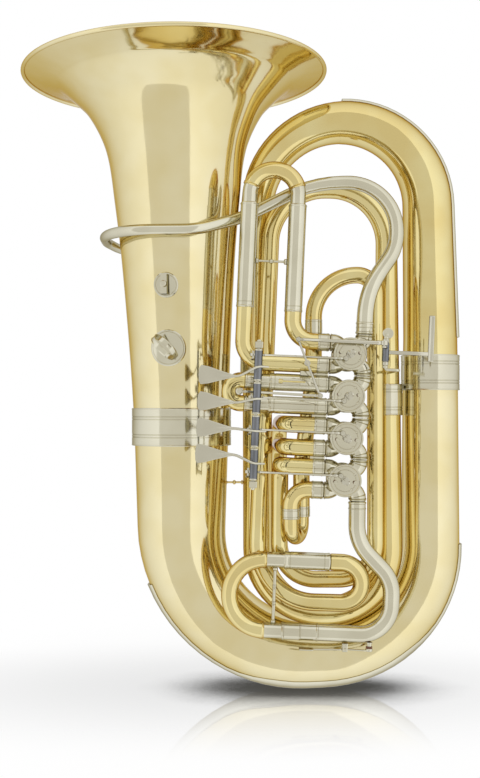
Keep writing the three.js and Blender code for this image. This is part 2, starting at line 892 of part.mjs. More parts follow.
// The pin's swing lifts the rod by this much half way through the turn
const rodLift = pinOrbit * (1 - Math.SQRT1_2);
function leverPaddle(paddleZ) {
  const neck = paddleLength * paddleNeckShare;
  const outline = [
    [0, -paddleWide / 2],
    [neck, -paddleNarrow / 2],
    [paddleLength, -leverRodRadius],
    [paddleLength, leverRodRadius],
    [neck, paddleNarrow / 2],
    [0, paddleWide / 2],
    [-paddleThickness, paddleWide * paddleEdgeShare],
    [-paddleThickness, -paddleWide * paddleEdgeShare],
  ];
  return plate(outline, paddleThickness)
    .rotateX(Math.PI / 2)
    .translate(paddleX - axleX, -barrelRadius + paddleThickness / 2, paddleZ);
}
function leverShape(paddleZ, crankZ) {
  const half = (barrelPitch - barrelGap) / 2;
  const barrel = straightRod([0, 0, -half], [0, 0, half], barrelRadius);
  const bore = straightRod([0, 0, -half - overrun], [0, 0, half + overrun], axleRadius + gap);
  const endX = paddleX - axleX + paddleLength * leverEndShare;
  const armLine = route([
    [[0, -barrelRadius * leverBackShare, 0]],
    [[endX * leverKneeShare, -barrelRadius, paddleZ / 2], leverKneeBend],
    [[endX, -barrelRadius, paddleZ]],
  ]);
  const paddleArm = [rod(armLine, leverRodRadius), leverPaddle(paddleZ)];
  const crankTop = crankZ - eyeHalf - rodLift - gap * 2;
  const crankFoot = [0, crankLength, crankTop - crankThickness];
  const crankHead = [0, crankLength, crankZ + eyeHalf + rodLift + gap];
  const crank = [
    box(armWidth, crankLength, crankThickness, 0, crankLength / 2, crankTop - crankThickness / 2),
    straightRod(crankFoot, [0, crankLength, crankTop], armWidth / 2),
    straightRod(crankFoot, crankHead, pinRadius),
  ];
  const pressed = paddleArm.map((g) => g.rotateZ(leverTurn * leverPressShare));
  const turnedBack = crank.map((g) => g.rotateZ(leverTurn / 2));
  return cut(join(barrel, ...pressed, ...turnedBack), bore);
}
const crankX = axleX - crankLength * Math.sin(leverTurn / 2);
const crankY = axleY + crankLength * Math.cos(leverTurn / 2);
const pinX = -pinOrbit * Math.SQRT1_2;
const pinSides = [1, 1, -1, -1];
const numbers = ["first", "second", "third", "fourth"];
for (let i = 0; i < valveCount; i += 1) {
  const name = numbers[i];
  const z = -valvePitch * i;
  const pinSide = pinSides[i];
  const pinZ = z - pinSide * pinOrbit * Math.SQRT1_2;
  const barrelZ = -barrelPitch * (i + 1 / 2);
  const paddleZ = paddleTopZ - paddlePitch * i - barrelZ;
  add(name + "_valve_casing", casing(), nickel, valveSection, [0, 0, z]);
  add(name + "_rotor", rotor(pinSide), brass, valveSection, [0, 0, z]);
  add(name + "_valve_cap", frontCap(pinSide), nickel, valveSection, [0, 0, z]);
  add(name + "_back_cap", backCap(), nickel, valveSection, [0, 0, z]);
  add(name + "_rod", connectingRod(crankX - pinX, crankY - rodY), steel, valveSection, [pinX, rodY, pinZ]);
  add(name + "_lever", leverShape(paddleZ, pinZ - barrelZ), steel, valveSection, [axleX, axleY, barrelZ]);
}

// Lever axle and the frame that holds it: two blocks, each on a post from a rail behind the barrels
const axleFootZ = -barrelPitch * valveCount;
const axleFoot = [axleX, axleY, axleFootZ - blockHeight + axleInset];
const axle = straightRod(axleFoot, [axleX, axleY, axleTopZ], axleRadius);
add("lever_axle", axle, steel, valveSection);
const railY = -sleeveRadius - postRadius - gap;
const topBlockZ = blockHeight / 2 + gap;
const footBlockZ = axleFootZ - blockHeight / 2 - gap;
function frameBlock(z) {
  return [
    box(blockSize, blockSize, blockHeight, axleX, axleY, z),
    straightRod([axleX, axleY, z], [axleX, railY, z], postRadius, smallSides),
  ];
}
const rail = straightRod(
  [axleX, railY, footBlockZ - postRadius],
  [axleX, railY, topBlockZ + postRadius],
  postRadius,
  smallSides,
);
const axleHole = straightRod(
  [axleX, axleY, footBlockZ - blockHeight],
  [axleX, axleY, topBlockZ + blockHeight],
  axleRadius + gap,
);
const leverFrame = cut(join(...frameBlock(topBlockZ), ...frameBlock(footBlockZ), rail), axleHole);
add("lever_frame", leverFrame, nickel, valveSection);

// A sleeve of a slide, and the small stays between neighbouring tubes
const portStart = -portReach - jointSlit;
const firstMouth = [gap, mouthBand];
const wallReach = sleeveRadius * wallShare;
const slideReach = slideRadius * wallShare;
function sleeve(corners, bands = [firstMouth]) {
  return tube(route(corners), sleeveRadius, slideRadius + slideClearance, tubeSides, bands);
}
function bar(from, to, radius = barRadius) {
  return straightRod(from, to, radius);
}

// First slide, upright
const rockerFront = rodY - rodEndRadius - rockerThickness - gap * 6;
const rockerBack = rockerFront + rockerThickness;
const firstRight = sleeve([
  [[portStart, 0, portOffset]],
  [[firstInnerX, 0, portOffset], firstBend],
  [[firstInnerX, 0, firstSleeveTop]],
]);
const firstLeft = sleeve([
  [[portStart, 0, -portOffset]],
  [[firstOuterX, 0, -portOffset], firstBend],
  [[firstOuterX, 0, firstSleeveTop]],
]);
const firstBrace = bar(
  [firstOuterX + wallReach, 0, firstBraceZ],
  [firstInnerX - wallReach, 0, firstBraceZ],
);
const rockerPost = drum(rockerPostRadius, rockerBack + gap, -wallReach, smallSides, rockerX, -portOffset);
const rockerPin = drum(pinRadius, rockerFront - gap, rockerBack + overrun, smallSides, rockerX, -portOffset);
const firstSleeves = join(firstRight, firstLeft, firstBrace, rockerPost, rockerPin);
add("first_slide_sleeves", firstSleeves, brass, valveSection);
const firstHalf = (firstInnerX - firstOuterX) / 2 - gap;
const firstSlideRoute = route([
  [[firstInnerX, 0, firstSlideFoot]],
  [[firstInnerX, 0, firstBowTop], firstHalf],
  [[firstOuterX, 0, firstBowTop], firstHalf],
  [[firstOuterX, 0, firstSlideFoot]],
]);
add("first_slide", tube(firstSlideRoute, slideRadius, boreRadius), nickel, valveSection);

// Second slide, across, with the stud that the trigger pushes
const secondZ = -valvePitch;
const secondLegs = [1, -1].map((side) =>
  sleeve([
    [[portStart, 0, secondZ + side * portOffset]],
    [[secondSleeveEnd, 0, secondZ + side * portOffset]],
  ]),
);
const secondBraceX = portStart - secondBraceReach;
const secondBrace = bar(
  [secondBraceX, 0, secondZ - portOffset + wallReach],
  [secondBraceX, 0, secondZ + portOffset - wallReach],
);
add("second_slide_sleeves", join(...secondLegs, secondBrace), brass, valveSection);
const secondCrownX = secondBowX - portOffset;
const secondHalf = portOffset - gap;
const secondSlideRoute = route([
  [[secondSlideFoot, 0, secondZ + portOffset]],
  [[secondCrownX, 0, secondZ + portOffset], secondHalf],
  [[secondCrownX, 0, secondZ - portOffset], secondHalf],
  [[secondSlideFoot, 0, secondZ - portOffset]],
]);
const studX = secondBowX - studReach;
const studFrontY = rockerFront - gap - linkRadius * 2;
const secondStay = bar(
  [studX, 0, secondZ - portOffset + slideReach],
  [studX, 0, secondZ + portOffset - slideReach],
);
const secondStud = drum(pinRadius, studFrontY, 0, smallSides, studX, secondZ);
const secondTube = tube(secondSlideRoute, slideRadius, boreRadius);
add("second_slide", join(secondTube, secondStay, secondStud), nickel, valveSection);

// Third slide: both tubes turn back past the branches and then down
const thirdZ = -valvePitch * 2;
function thirdLeg(side, y, bend) {
  const z = thirdZ + side * portOffset;
  return sleeve([
    [[portStart, 0, z]],
    [[thirdElbowX, 0, z], thirdElbowBend],
    [[thirdElbowX, y, z], bend],
    [[thirdElbowX, y, thirdSleeveFoot]],
  ]);
}
const thirdBraceZ = thirdSleeveFoot + thirdBraceRise;
const thirdBrace = bar(
  [thirdElbowX, thirdNearY + wallReach, thirdBraceZ],
  [thirdElbowX, thirdFarY - wallReach, thirdBraceZ],
);
const thirdFarLeg = thirdLeg(1, thirdFarY, thirdFarBend);
const thirdNearLeg = thirdLeg(-1, thirdNearY, thirdNearBend);
add("third_slide_sleeves", join(thirdFarLeg, thirdNearLeg, thirdBrace), brass, valveSection);
const thirdHalf = (thirdFarY - thirdNearY) / 2 - gap;
const thirdSlideRoute = route([
  [[thirdElbowX, thirdNearY, thirdSlideTop]],
  [[thirdElbowX, thirdNearY, thirdBowZ], thirdHalf],
  [[thirdElbowX, thirdFarY, thirdBowZ], thirdHalf],
  [[thirdElbowX, thirdFarY, thirdSlideTop]],
], new THREE.Vector3(1, 0, 0));
add("third_slide", tube(thirdSlideRoute, slideRadius, boreRadius), nickel, valveSection);

// Fourth loop: the front drop, and the long way round behind the valves
const fourthZ = -valvePitch * 3;
const dropTurn = [fourthDropX, 0, fourthZ - portOffset];
const dropWorld = outOfSection(...dropTurn);
const dropFoot = intoSection(dropWorld.x, dropWorld.y, fourthSleeveFoot);
const fourthDrop = sleeve(
  [[[portStart, 0, fourthZ - portOffset]], [dropTurn, fourthDropBend], [dropFoot]],
  [firstMouth, [-endBand, -gap]],
);
add("fourth_slide_sleeve", fourthDrop, brass, valveSection);
const loopElbow = outOfSection(fourthElbowX, 0, fourthZ + portOffset);
const loopStart = outOfSection(portStart, 0, fourthZ + portOffset);
const fourthLoop = sleeve([
  [loopStart],
  [loopElbow, loopElbowBend],
  [[loopElbow.x, loopY, loopElbow.z], loopElbowBend],
  [[loopLeftX, loopY, loopLowZ], loopLowBend],
  [[loopRightX, loopY, loopLowZ], loopLowBend],
  [[loopRightX, loopY, loopTopZ], loopTopRightBend],
  [[loopDownX, loopY, loopTopZ], loopTopBend],
  [[loopDownX, loopY, loopEaseZ], loopEaseBend],
  [[loopFootX, loopY, loopFootZ], loopEaseBend],
  [[loopFootX, loopY, fourthSleeveFoot]],
]);
add("fourth_loop", fourthLoop, brass);
const fourthGap = new THREE.Vector3(loopFootX - dropWorld.x, loopY - dropWorld.y, 0);
const fourthHalf = fourthGap.length() / 2 - gap;
const drop = (z) => new THREE.Vector3(dropWorld.x, dropWorld.y, z);
const rise = (z) => new THREE.Vector3(loopFootX, loopY, z);
const fourthLowZ = fourthBowZ - fourthHalf;
const fourthSlideRoute = route([
  [drop(fourthSlideTop)],
  [drop(fourthLowZ), fourthHalf],
  [rise(fourthLowZ), fourthHalf],
  [rise(fourthSlideTop + fourthSlideStep)],
], up);
add("fourth_slide", tube(fourthSlideRoute, slideRadius, boreRadius), brass);

// Outlet tube: from the fourth valve's lower port, round to the main tuning slide's lower leg
const outletTop = fourthZ - valvePitch / 2 - jointSlit / 2;
const outletRoute = route([
  [[mainPortX, 0, outletTop]],
  [[mainPortX + outletDrift, 0, outletEaseZ], outletEaseBend],
  [[outletBowX, 0, outletBowZ], outletBowBend],
  [[outletBowX, 0, tuningLowerZ], outletFootBend],
  [[tuningMouthX, 0, tuningLowerZ]],
]);
const outletBands = [
  [gap, endBand],
  [-outletBand, -gap],
];
const nippleX = keyPivotX + keyCorkX;
const nippleFoot = tuningLowerZ - sleeveRadius - nippleHeight;
const nippleTop = tuningLowerZ - wallReach + nippleRise;
const nipple = straightRod([nippleX, 0, nippleFoot], [nippleX, 0, nippleTop], nippleRadius, smallSides);
const drain = straightRod(
  [nippleX, 0, nippleFoot - overrun],
  [nippleX, 0, tuningLowerZ],
  nippleRadius * drainShare,
  smallSides,
);
const outlet = tube(outletRoute, sleeveRadius, slideRadius + slideClearance, tubeSides, outletBands);
add("outlet_tube", cut(join(outlet, nipple), drain), nickel, valveSection);

// Main tuning slide: upper sleeve, and the slide with its brace
const tuningSleeve = tube(
  route([[[tuningUpperEnd - jointSlit / 2, 0, tuningUpperZ]], [[tuningMouthX, 0, tuningUpperZ]]]),
  sleeveRadius + bandStep / 2,
  slideRadius + slideClearance,
);
add("tuning_slide_sleeve", tuningSleeve, nickel, valveSection);
const tuningHalf = (tuningUpperZ - tuningLowerZ) / 2;
const tuningRoute = route([
  [[tuningFootX, 0, tuningUpperZ]],
  [[tuningBowX - tuningHalf, 0, tuningUpperZ], tuningHalf - gap],
  [[tuningBowX - tuningHalf, 0, tuningLowerZ], tuningHalf - gap],
  [[tuningFootX, 0, tuningLowerZ]],
]);
const braceX = tuningMouthX - tuningBraceInset;
const tuningBrace = bar(
  [braceX, 0, tuningLowerZ + slideReach],
  [braceX, 0, tuningUpperZ - slideReach],
  tuningBraceRadius,
);
add("tuning_slide", join(tube(tuningRoute, slideRadius, boreRadius), tuningBrace), brass, valveSection);

// Leadpipe: from the receiver behind the bell, round its left side, across the front and down to
// the first valve
const leadHoop = bellRadiusAt(leadPassZ - bellFootZ) + leadBellGap + sleeveRadius;
const hoopX = bellAxisAt(leadPassZ);
const leadY = valveY + sleeveRadius * 2 + leadSlideGap;
const leadHang = leadTurns.map((angle, i) => {
  const turn = angle * degree;
  const z = leadPassZ - leadFall * (leadHoopShares.length + 1 - i);
  return [[hoopX + leadHoop * Math.cos(turn), leadHoop * Math.sin(turn), z], leadHoop * leadSideShare];
});
const leadBend = leadHoopShares.map(([x, y, bend], i) => {
  const z = leadPassZ - leadFall * Math.max(1 - i, 0);
  return [[hoopX + leadHoop * x, leadHoop * y, z], leadHoop * bend];
});
const leadRoute = route([
  ...leadHang,
  ...leadBend,
  [[leadShoulder.x, leadY, leadShoulder.z], leadShoulder.bend],
  [[leadCrest.x, leadY, leadCrest.z], leadCrest.bend],
  [[leadRight.x, leadY - leadRight.inset, leadCrest.z], leadRight.bend],
  [[leadRight.x, leadY - leadDrop.inset, leadDrop.z], leadDrop.bend],
  [outOfSection(mainPortX, 0, leadRise.z), leadRise.bend],
  [outOfSection(mainPortX, 0, valvePitch / 2 + jointSlit / 2)],
], up);
const leadTaper = taper(
  [
    [0, leadTipRadius],
    [0.6, leadCrestRadius],
    [0.8, (leadCrestRadius + sleeveRadius) / 2],
    [1, sleeveRadius],
  ],
  lengthOf(leadRoute),
);
const leadInside = (s) => leadTaper(s) - leadWall;
add("leadpipe", tube(leadRoute, leadTaper, leadInside, tubeSides, [[-mouthBand, -gap]]), nickel);

// Mouthpiece receiver: a thicker tapered socket on the leadpipe's first end
const leadFirst = leadRoute[0];
const receiverTop = leadFirst.p.clone().addScaledVector(leadFirst.tangent, -receiverLength);
const receiverFoot = leadFirst.p.clone().addScaledVector(leadFirst.tangent, -gap);
const receiverLine = route([[receiverTop], [receiverFoot]], up);
const receiverTaper = taper(
  [
    [0, receiverMouth],
    [0.12, receiverMouth],
    [0.2, receiverTip + receiverStep],
    [1, receiverTip],
  ],
  lengthOf(receiverLine),
);
const receiverInside = taper(
  [
    [0, receiverBore + receiverFlare],
    [1, leadTipRadius - leadWall],
  ],
  lengthOf(receiverLine),
);
const receiver = tube(receiverLine, receiverTaper, receiverInside, receiverSides);
add("mouthpiece_receiver", receiver, nickel);

// Trigger: a thumb lever on its own axle works the second slide through a rod and a rocker
const linkY = rockerFront - linkRadius - gap;
const triggerY = linkY + triggerCrank * Math.cos(triggerTurn / 2);
const rockerLean = Math.atan2(rockerDriftX, rockerUpper);
const pivot = [rockerX, 0, -portOffset];
const upperPin = [-rockerUpper * Math.sin(rockerLean), rockerUpper * Math.cos(rockerLean)];
const lowerPin = [rockerLower * Math.sin(rockerLean), -rockerLower * Math.cos(rockerLean)];
const rockerPinTip = linkY - linkRadius - rockerPinHead;
const rockerMiddle = (rockerUpper - rockerLower) / 2;
const rockerStrip = box(rockerWidth, rockerThickness, rockerUpper + rockerLower, 0, 0, rockerMiddle)
  .rotateY(-rockerLean)
  .translate(0, rockerFront + rockerThickness / 2, 0);
const rockerBody = join(
  rockerStrip,
  drum(linkRadius + rockerHubWall, rockerFront, rockerBack, tubeSides),
  drum(linkRadius, rockerFront, rockerBack, tubeSides, ...upperPin),
  drum(linkRadius, rockerFront, rockerBack, tubeSides, ...lowerPin),
  drum(pinRadius, rockerPinTip, rockerFront + gap, smallSides, ...upperPin),
  drum(pinRadius, rockerPinTip, rockerFront + gap, smallSides, ...lowerPin),
);
const rockerHole = drum(pinRadius + gap, rockerFront - overrun, rockerBack + overrun, smallSides);
add("trigger_rocker", cut(rockerBody, rockerHole), steel, valveSection, pivot);

// A rod with an eye at each end: the first turns on a pin along Y, the second on an upright pin or
// on one along Y
function link(toX, toZ, upright) {
  const end = new THREE.Vector3(toX, 0, toZ);
  const along = upright ? up : sectionY;
  const pinAt = (reach) => end.clone().addScaledVector(along, reach);
  const loose = pinRadius + looseGap;
  const side = Math.sign(toX);
  const shaftFrom = [side * linkRadius * shaftShare, 0, 0];
  const shaft = straightRod(shaftFrom, [toX - side * loose, 0, toZ], rodRadius, smallSides);
  const whole = join(
    drum(linkRadius, -linkRadius, linkRadius, smallSides),
    straightRod(pinAt(-linkRadius), pinAt(linkRadius), loose + looseWall, smallSides),
    shaft,
  );
  const reach = linkRadius + overrun;
  return cut(
    whole,
    drum(pinRadius + gap, -reach, reach, smallSides),
    straightRod(pinAt(-reach), pinAt(reach), loose, smallSides),
  );
}
const crankEndX = triggerX - triggerCrank * Math.sin(triggerTurn / 2);
const topPin = [pivot[0] + upperPin[0], linkY, pivot[2] + upperPin[1]];
add("trigger_rod", link(crankEndX - topPin[0], 0, true), steel, valveSection, topPin);
const pushPin = [pivot[0] + lowerPin[0], linkY, pivot[2] + lowerPin[1]];
add("slide_push_rod", link(studX - pushPin[0], secondZ - pushPin[2], false), steel, valveSection, pushPin);

const triggerHalf = triggerHeight / 2;
const triggerMidZ = topPin[2] - triggerHalf + linkRadius + triggerBarrelWall + gap * 4;
const triggerBarrel = straightRod([0, 0, -triggerHalf], [0, 0, triggerHalf], axleRadius + triggerBarrelWall);
const triggerBore = straightRod(
  [0, 0, -triggerHalf - overrun],
  [0, 0, triggerHalf + overrun],
  axleRadius + gap,
);
const crankTopZ = topPin[2] - triggerMidZ - linkRadius - gap * 3;
const crankFootAt = [0, -triggerCrank, crankTopZ - crankThickness];
const crankPinTop = crankTopZ + linkRadius * 2 + triggerPinReach;
const crankParts = [
  box(armWidth, triggerCrank, crankThickness, 0, -triggerCrank / 2, crankTopZ - crankThickness / 2),
  straightRod(crankFootAt, [0, -triggerCrank, crankTopZ], armWidth / 2, smallSides),
  straightRod(crankFootAt, [0, -triggerCrank, crankPinTop], pinRadius, smallSides),
].map((g) => g.rotateZ(-triggerTurn / 2));
const triggerArm = bar([0, 0, 0], [triggerReach, 0, 0], triggerArmRadius);
const thumbZ = thumbHeight * thumbRiseShare;
const thumbBar = box(thumbWidth, thumbWidth * thumbDepthShare, thumbHeight, triggerReach, 0, thumbZ);
const triggerLever = cut(join(triggerBarrel, triggerArm, thumbBar, ...crankParts), triggerBore);
add("trigger_lever", triggerLever, steel, valveSection, [triggerX, triggerY, triggerMidZ]);
const triggerFoot = triggerMidZ - triggerHalf - bracketDrop;
const ferruleFaceY = thirdJointY - thirdFerruleInner - ferruleWall - gap * 3;
const ferruleFace = intoSection(secondRightX, ferruleFaceY, thirdJointZ);
const bracketRoute = route([
  [[triggerX, triggerY, triggerMidZ + triggerHalf + bracketRise]],
  [[triggerX, triggerY, triggerFoot], bracketBend],
  [[ferruleFace.x, triggerY, triggerFoot], bracketBend],
  [[ferruleFace.x, ferruleFace.y, triggerFoot]],
]);
add("trigger_bracket", rod(bracketRoute, axleRadius, smallSides), nickel, valveSection);

// Water key under the outlet tube: a saddle with its pin, and the sprung lever with its cork
const keyZ = tuningLowerZ - keyDrop;
const saddleTop = tuningLowerZ - sleeveRadius - bandStep - gap;
const saddleRise = saddleTop - keyZ;
const cheekX = keyBarrelRadius + cheekReach;
const cheekY = keyWidth / 2 + gap * 2;
const cheek = (side) =>
  box(
    cheekX * 2,
    cheekThickness,
    saddleRise + keyBarrelRadius,
    0,
    side * (cheekY + cheekThickness / 2),
    (saddleRise - keyBarrelRadius) / 2,
  );
const saddleDepth = (cheekY + cheekThickness) * 2;
const saddlePad = box(cheekX * 2, saddleDepth, cheekThickness, 0, 0, saddleRise - cheekThickness / 2);
const keyPin = drum(keyPinRadius, -cheekY - cheekThickness, cheekY + cheekThickness, smallSides);
const saddle = join(saddlePad, cheek(1), cheek(-1), keyPin);
add("water_key_saddle", saddle, nickel, valveSection, [keyPivotX, 0, keyZ]);
const corkTop = nippleFoot - gap - keyZ;
const cupZ = corkTop - corkHeight;
const keyArm = (fromX, toX, toZ) =>
  box(Math.abs(toX - fromX), keyWidth * keyArmShare, keyThickness, 0, 0, 0)
    .rotateY(-Math.atan2(toZ, toX - fromX))
    .translate((fromX + toX) / 2, 0, toZ / 2);
const cupFoot = [keyCorkX, 0, cupZ - keyThickness * cupShare];
const keyLever = join(
  drum(keyBarrelRadius, -keyWidth / 2, keyWidth / 2, tubeSides),
  keyArm(0, keyCorkX, cupZ - keyThickness),
  keyArm(0, -keyReach + fingerLength / 2, -keyThickness),
  box(fingerLength, fingerWidth, keyThickness, -keyReach, 0, -keyThickness),
  straightRod(cupFoot, [keyCorkX, 0, corkTop], corkRadius),
);
const keyBore = drum(keyPinRadius + gap, -keyWidth, keyWidth, smallSides);
add("water_key", cut(keyLever, keyBore), nickel, valveSection, [keyPivotX, 0, keyZ]);

// Round plates on the bell's front: one carries a holder, the other a strap ring
function bellPatch(atZ, turn, radius) {
  const point = (reach, angle, lift) => {
    const z = atZ + reach * Math.sin(angle);
    const r = bellRadiusAt(z - bellFootZ) + lift;
    const sweep = turn + (reach * Math.cos(angle)) / r;
    return new THREE.Vector3(bellAxisAt(z) + r * Math.sin(sweep), -r * Math.cos(sweep), z);
  };
  const loop = (reach, lift) =>
    Array.from({ length: plateSides }, (_, i) => point(reach, (2 * Math.PI * i) / plateSides, lift));
  const inside = [radius / 2, radius].map((reach) => loop(reach, plateLift));
  const outside = [radius, radius / 2].map((reach) => loop(reach, plateLift + plateThickness));
  return skin([...inside, ...outside], false);
}

// Sets a piece, made on the origin with -Y outwards, on the bell's front at a height and a turn.
function onBell(geometry, atZ, turn) {
  const r = bellRadiusAt(atZ - bellFootZ) + plateLift + plateThickness;
  return geometry.rotateZ(turn).translate(bellAxisAt(atZ) + r * Math.sin(turn), -r * Math.cos(turn), atZ);
}
const holderY = -holderLift - holderWidth / 2;
const holderBody = box(holderWidth, holderWidth, holderHeight, 0, holderY, 0);
const knob = drum(knobRadius, -holderLift - holderWidth * knobShare, fittingSink, tubeSides);
const boreWidth = holderWidth - holderWall * 2;
const holderBore = box(boreWidth, boreWidth, holderHeight + overrun * 2, 0, holderY, 0);
const holder = onBell(cut(join(holderBody, knob), holderBore), lyrePlateZ, lyreTurn * degree);
const lyrePlate = bellPatch(lyrePlateZ, lyreTurn * degree, lyrePlateRadius);
add("lyre_holder", join(lyrePlate, holder), nickel);

const ringProfile = [
  [ringRadius, -ringWidth / 2],
  [ringRadius + ringWire, -ringWidth / 2],
  [ringRadius + ringWire, ringWidth / 2],
  [ringRadius, ringWidth / 2],
  [ringRadius, -ringWidth / 2],
];
const strapLoop = turned(ringProfile, ringSides)
  .rotateY(ringSlant * degree)
  .translate(0, fittingSink - ringRadius - ringWire, 0);
const strapPlate = bellPatch(strapPlateZ, strapTurn * degree, strapPlateRadius);
add("strap_ring", join(strapPlate, onBell(strapLoop, strapPlateZ, strapTurn * degree)), nickel);

// The origin is the bottom centre of the whole tuba's box
const whole = new THREE.Box3().setFromObject(tuba, true);
const middle = whole.getCenter(new THREE.Vector3());
tuba.position.set(-middle.x, -middle.y, -whole.min.z);

export default tuba;
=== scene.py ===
import math

import bmesh
import bpy
from mathutils import Matrix, Quaternion, Vector


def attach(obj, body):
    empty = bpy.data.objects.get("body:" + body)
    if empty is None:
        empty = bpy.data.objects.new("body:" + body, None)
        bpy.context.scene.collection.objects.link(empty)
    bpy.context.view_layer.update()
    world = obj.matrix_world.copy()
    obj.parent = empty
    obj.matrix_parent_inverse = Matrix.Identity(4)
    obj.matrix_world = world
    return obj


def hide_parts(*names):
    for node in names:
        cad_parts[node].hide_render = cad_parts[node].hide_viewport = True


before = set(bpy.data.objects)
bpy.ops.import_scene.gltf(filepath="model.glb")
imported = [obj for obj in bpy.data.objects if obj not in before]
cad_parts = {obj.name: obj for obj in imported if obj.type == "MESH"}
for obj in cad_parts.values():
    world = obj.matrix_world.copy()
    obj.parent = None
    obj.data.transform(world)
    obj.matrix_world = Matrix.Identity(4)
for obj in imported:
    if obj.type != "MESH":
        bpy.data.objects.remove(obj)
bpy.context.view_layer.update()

# Camera: level with the middle of the horn and 1.64 m from the plane of the bell's axis, as in the
# photograph. Its long side takes in 1158 mm there.


def into_scene(name, data):
    """Puts the data of a camera, a lamp or a mesh into the scene as an object."""
    thing = bpy.data.objects.new(name, data)
    bpy.context.scene.collection.objects.link(thing)
    return thing


camera_data = bpy.data.cameras.new("camera")
camera_data.sensor_width = 36
camera_data.lens = 50.97
camera_data.shift_y = 0.027
camera = into_scene("camera", camera_data)
camera.location = (-0.0036, -1.64, 0.4128)
camera.rotation_euler = (math.radians(90), 0, 0)
bpy.context.scene.camera = camera
bpy.context.scene.view_settings.view_transform = "Standard"

# Studio: a white sweep of paper under and behind the horn, which the camera sees white. A painted shade
# darkens its glow where the horn closes it off, it keeps a trace of the lamps' shadow, and a sheen on it
# gives the pale mirror image.
# The metal mirrors the room instead: brighter before the horn than behind it, with one warm card in it.


def linear(code):
    """An sRGB hex colour as linear values with full alpha."""
    shares = [int(code[i:i + 2], 16) / 255 for i in (1, 3, 5)]
    return [c / 12.92 if c <= 0.04045 else ((c + 0.055) / 1.055) ** 2.4 for c in shares] + [1]


def add_node(tree, kind, settings=None, sockets=None):
    """Adds a node, sets its properties, and fills its sockets or links them to another node's output."""
    made = tree.nodes.new("ShaderNode" + kind)
    for name, value in (settings or {}).items():
        setattr(made, name, value)
    for name, value in (sockets or {}).items():
        if isinstance(value, bpy.types.NodeSocket):
            tree.links.new(value, made.inputs[name])
        else:
            made.inputs[name].default_value = value
    return made


def ramped(tree, value, low, high, start, end, kind="LINEAR"):
    """A value that runs from low to high, made to run from start to end."""
    return add_node(tree, "MapRange", {"interpolation_type": kind}, {
        "Value": value, "From Min": low, "From Max": high, "To Min": start, "To Max": end,
    }).outputs["Result"]


def mixed(tree, share, under, over):
    """One shader laid over another by a share."""
    return add_node(tree, "MixShader", sockets={"Fac": share, 1: under, 2: over}).outputs[0]


def emptied(owner):
    """The node tree of a material or a world, with nothing in it."""
    owner.use_nodes = True
    owner.node_tree.nodes.clear()
    return owner.node_tree


def mesh_object(name, shape):
    """Turns a finished shape into an object."""
    mesh = bpy.data.meshes.new(name)
    shape.to_mesh(mesh)
    shape.free()
    return into_scene(name, mesh)


def sheet(name, width, height, place=Matrix.Identity(4)):
    """A flat sheet of the studio and its empty material."""
    shape = bmesh.new()
    bmesh.ops.create_grid(shape, x_segments=1, y_segments=1, size=0.5)
    shape.transform(place @ Matrix.Diagonal((width, height, 1, 1)))
    thing = mesh_object(name, shape)
    thing.data.materials.append(bpy.data.materials.new(name))
    return thing, emptied(thing.data.materials[0])


paper_side, shadow_from, shadow_to, shadow_share = 28, 0.1, 0.6, 0.12
mirror_to, mirror_share, mirror_narrow, painted_shade_reach = 0.36, 0.66, 0.45, 0.11
horn_middle = Vector((0, 0, 0.45))
floor, tree = sheet("floor", paper_side, paper_side)
floor.visible_glossy = False
seen = add_node(tree, "LightPath")
spot = add_node(tree, "TexCoord").outputs["Object"]
away = add_node(tree, "VectorMath", {"operation": "LENGTH"}, {0: spot})
shadow = ramped(tree, away.outputs["Value"], shadow_from, shadow_to, shadow_share, 0.0, "SMOOTHSTEP")
narrowed = add_node(tree, "Mapping", {"vector_type": "POINT"},
                    {"Vector": spot, "Scale": (mirror_narrow, 1, 1)})
reach = add_node(tree, "VectorMath", {"operation": "LENGTH"}, {0: narrowed.outputs["Vector"]})
mirror = ramped(tree, reach.outputs["Value"], 0.0, mirror_to, mirror_share, 0.0, "SMOOTHSTEP")
# Painted shade: an occlusion test darkens the floor's white glow and its sheen where the horn closes the
# floor off.
closed = add_node(tree, "AmbientOcclusion", {"samples": 8}, {"Distance": painted_shade_reach})
painted_contact_shade = ramped(tree, closed.outputs["AO"], 0.46, 0.88, 0.02, 1.0, "SMOOTHSTEP")
matt = add_node(tree, "BsdfDiffuse", sockets={"Color": linear("#F7F7F7")}).outputs[0]
glow = add_node(tree, "Emission", sockets={"Color": linear("#FFFFFF"), "Strength": painted_contact_shade}).outputs[0]
sheen = add_node(tree, "BsdfGlossy", sockets={"Color": linear("#FFFFFF"), "Roughness": 0.03}).outputs[0]
sheen_share_under_painted_shade = add_node(tree, "Math", {"operation": "MULTIPLY"}, {0: mirror, 1: painted_contact_shade}).outputs[0]
glazed = mixed(tree, sheen_share_under_painted_shade, mixed(tree, shadow, glow, matt), sheen)
add_node(tree, "OutputMaterial", sockets={
    "Surface": mixed(tree, seen.outputs["Is Camera Ray"], matt, glazed)})

world = bpy.data.worlds.new("studio")
bpy.context.scene.world = world
tree = emptied(world)
seen = add_node(tree, "LightPath")
around = add_node(tree, "TexCoord")
ahead = add_node(tree, "VectorMath", {"operation": "DOT_PRODUCT"},
                 {0: around.outputs["Generated"], 1: (0.0, -1.0, 0.0)})
level = ramped(tree, ahead.outputs["Value"], -1.0, 1.0, 0.72, 1.14)
white, room, fill = [
    add_node(tree, "Background", sockets={"Color": linear("#FFFFFF"), "Strength": strength}).outputs[0]
    for strength in (1.0, level, 0.55)]
either = add_node(tree, "Math", {"operation": "MAXIMUM"}, {
    0: seen.outputs["Is Camera Ray"], 1: seen.outputs["Is Transmission Ray"]}).outputs[0]
add_node(tree, "OutputWorld", sockets={
    "Surface": mixed(tree, seen.outputs["Is Glossy Ray"], mixed(tree, either, fill, white), room)})

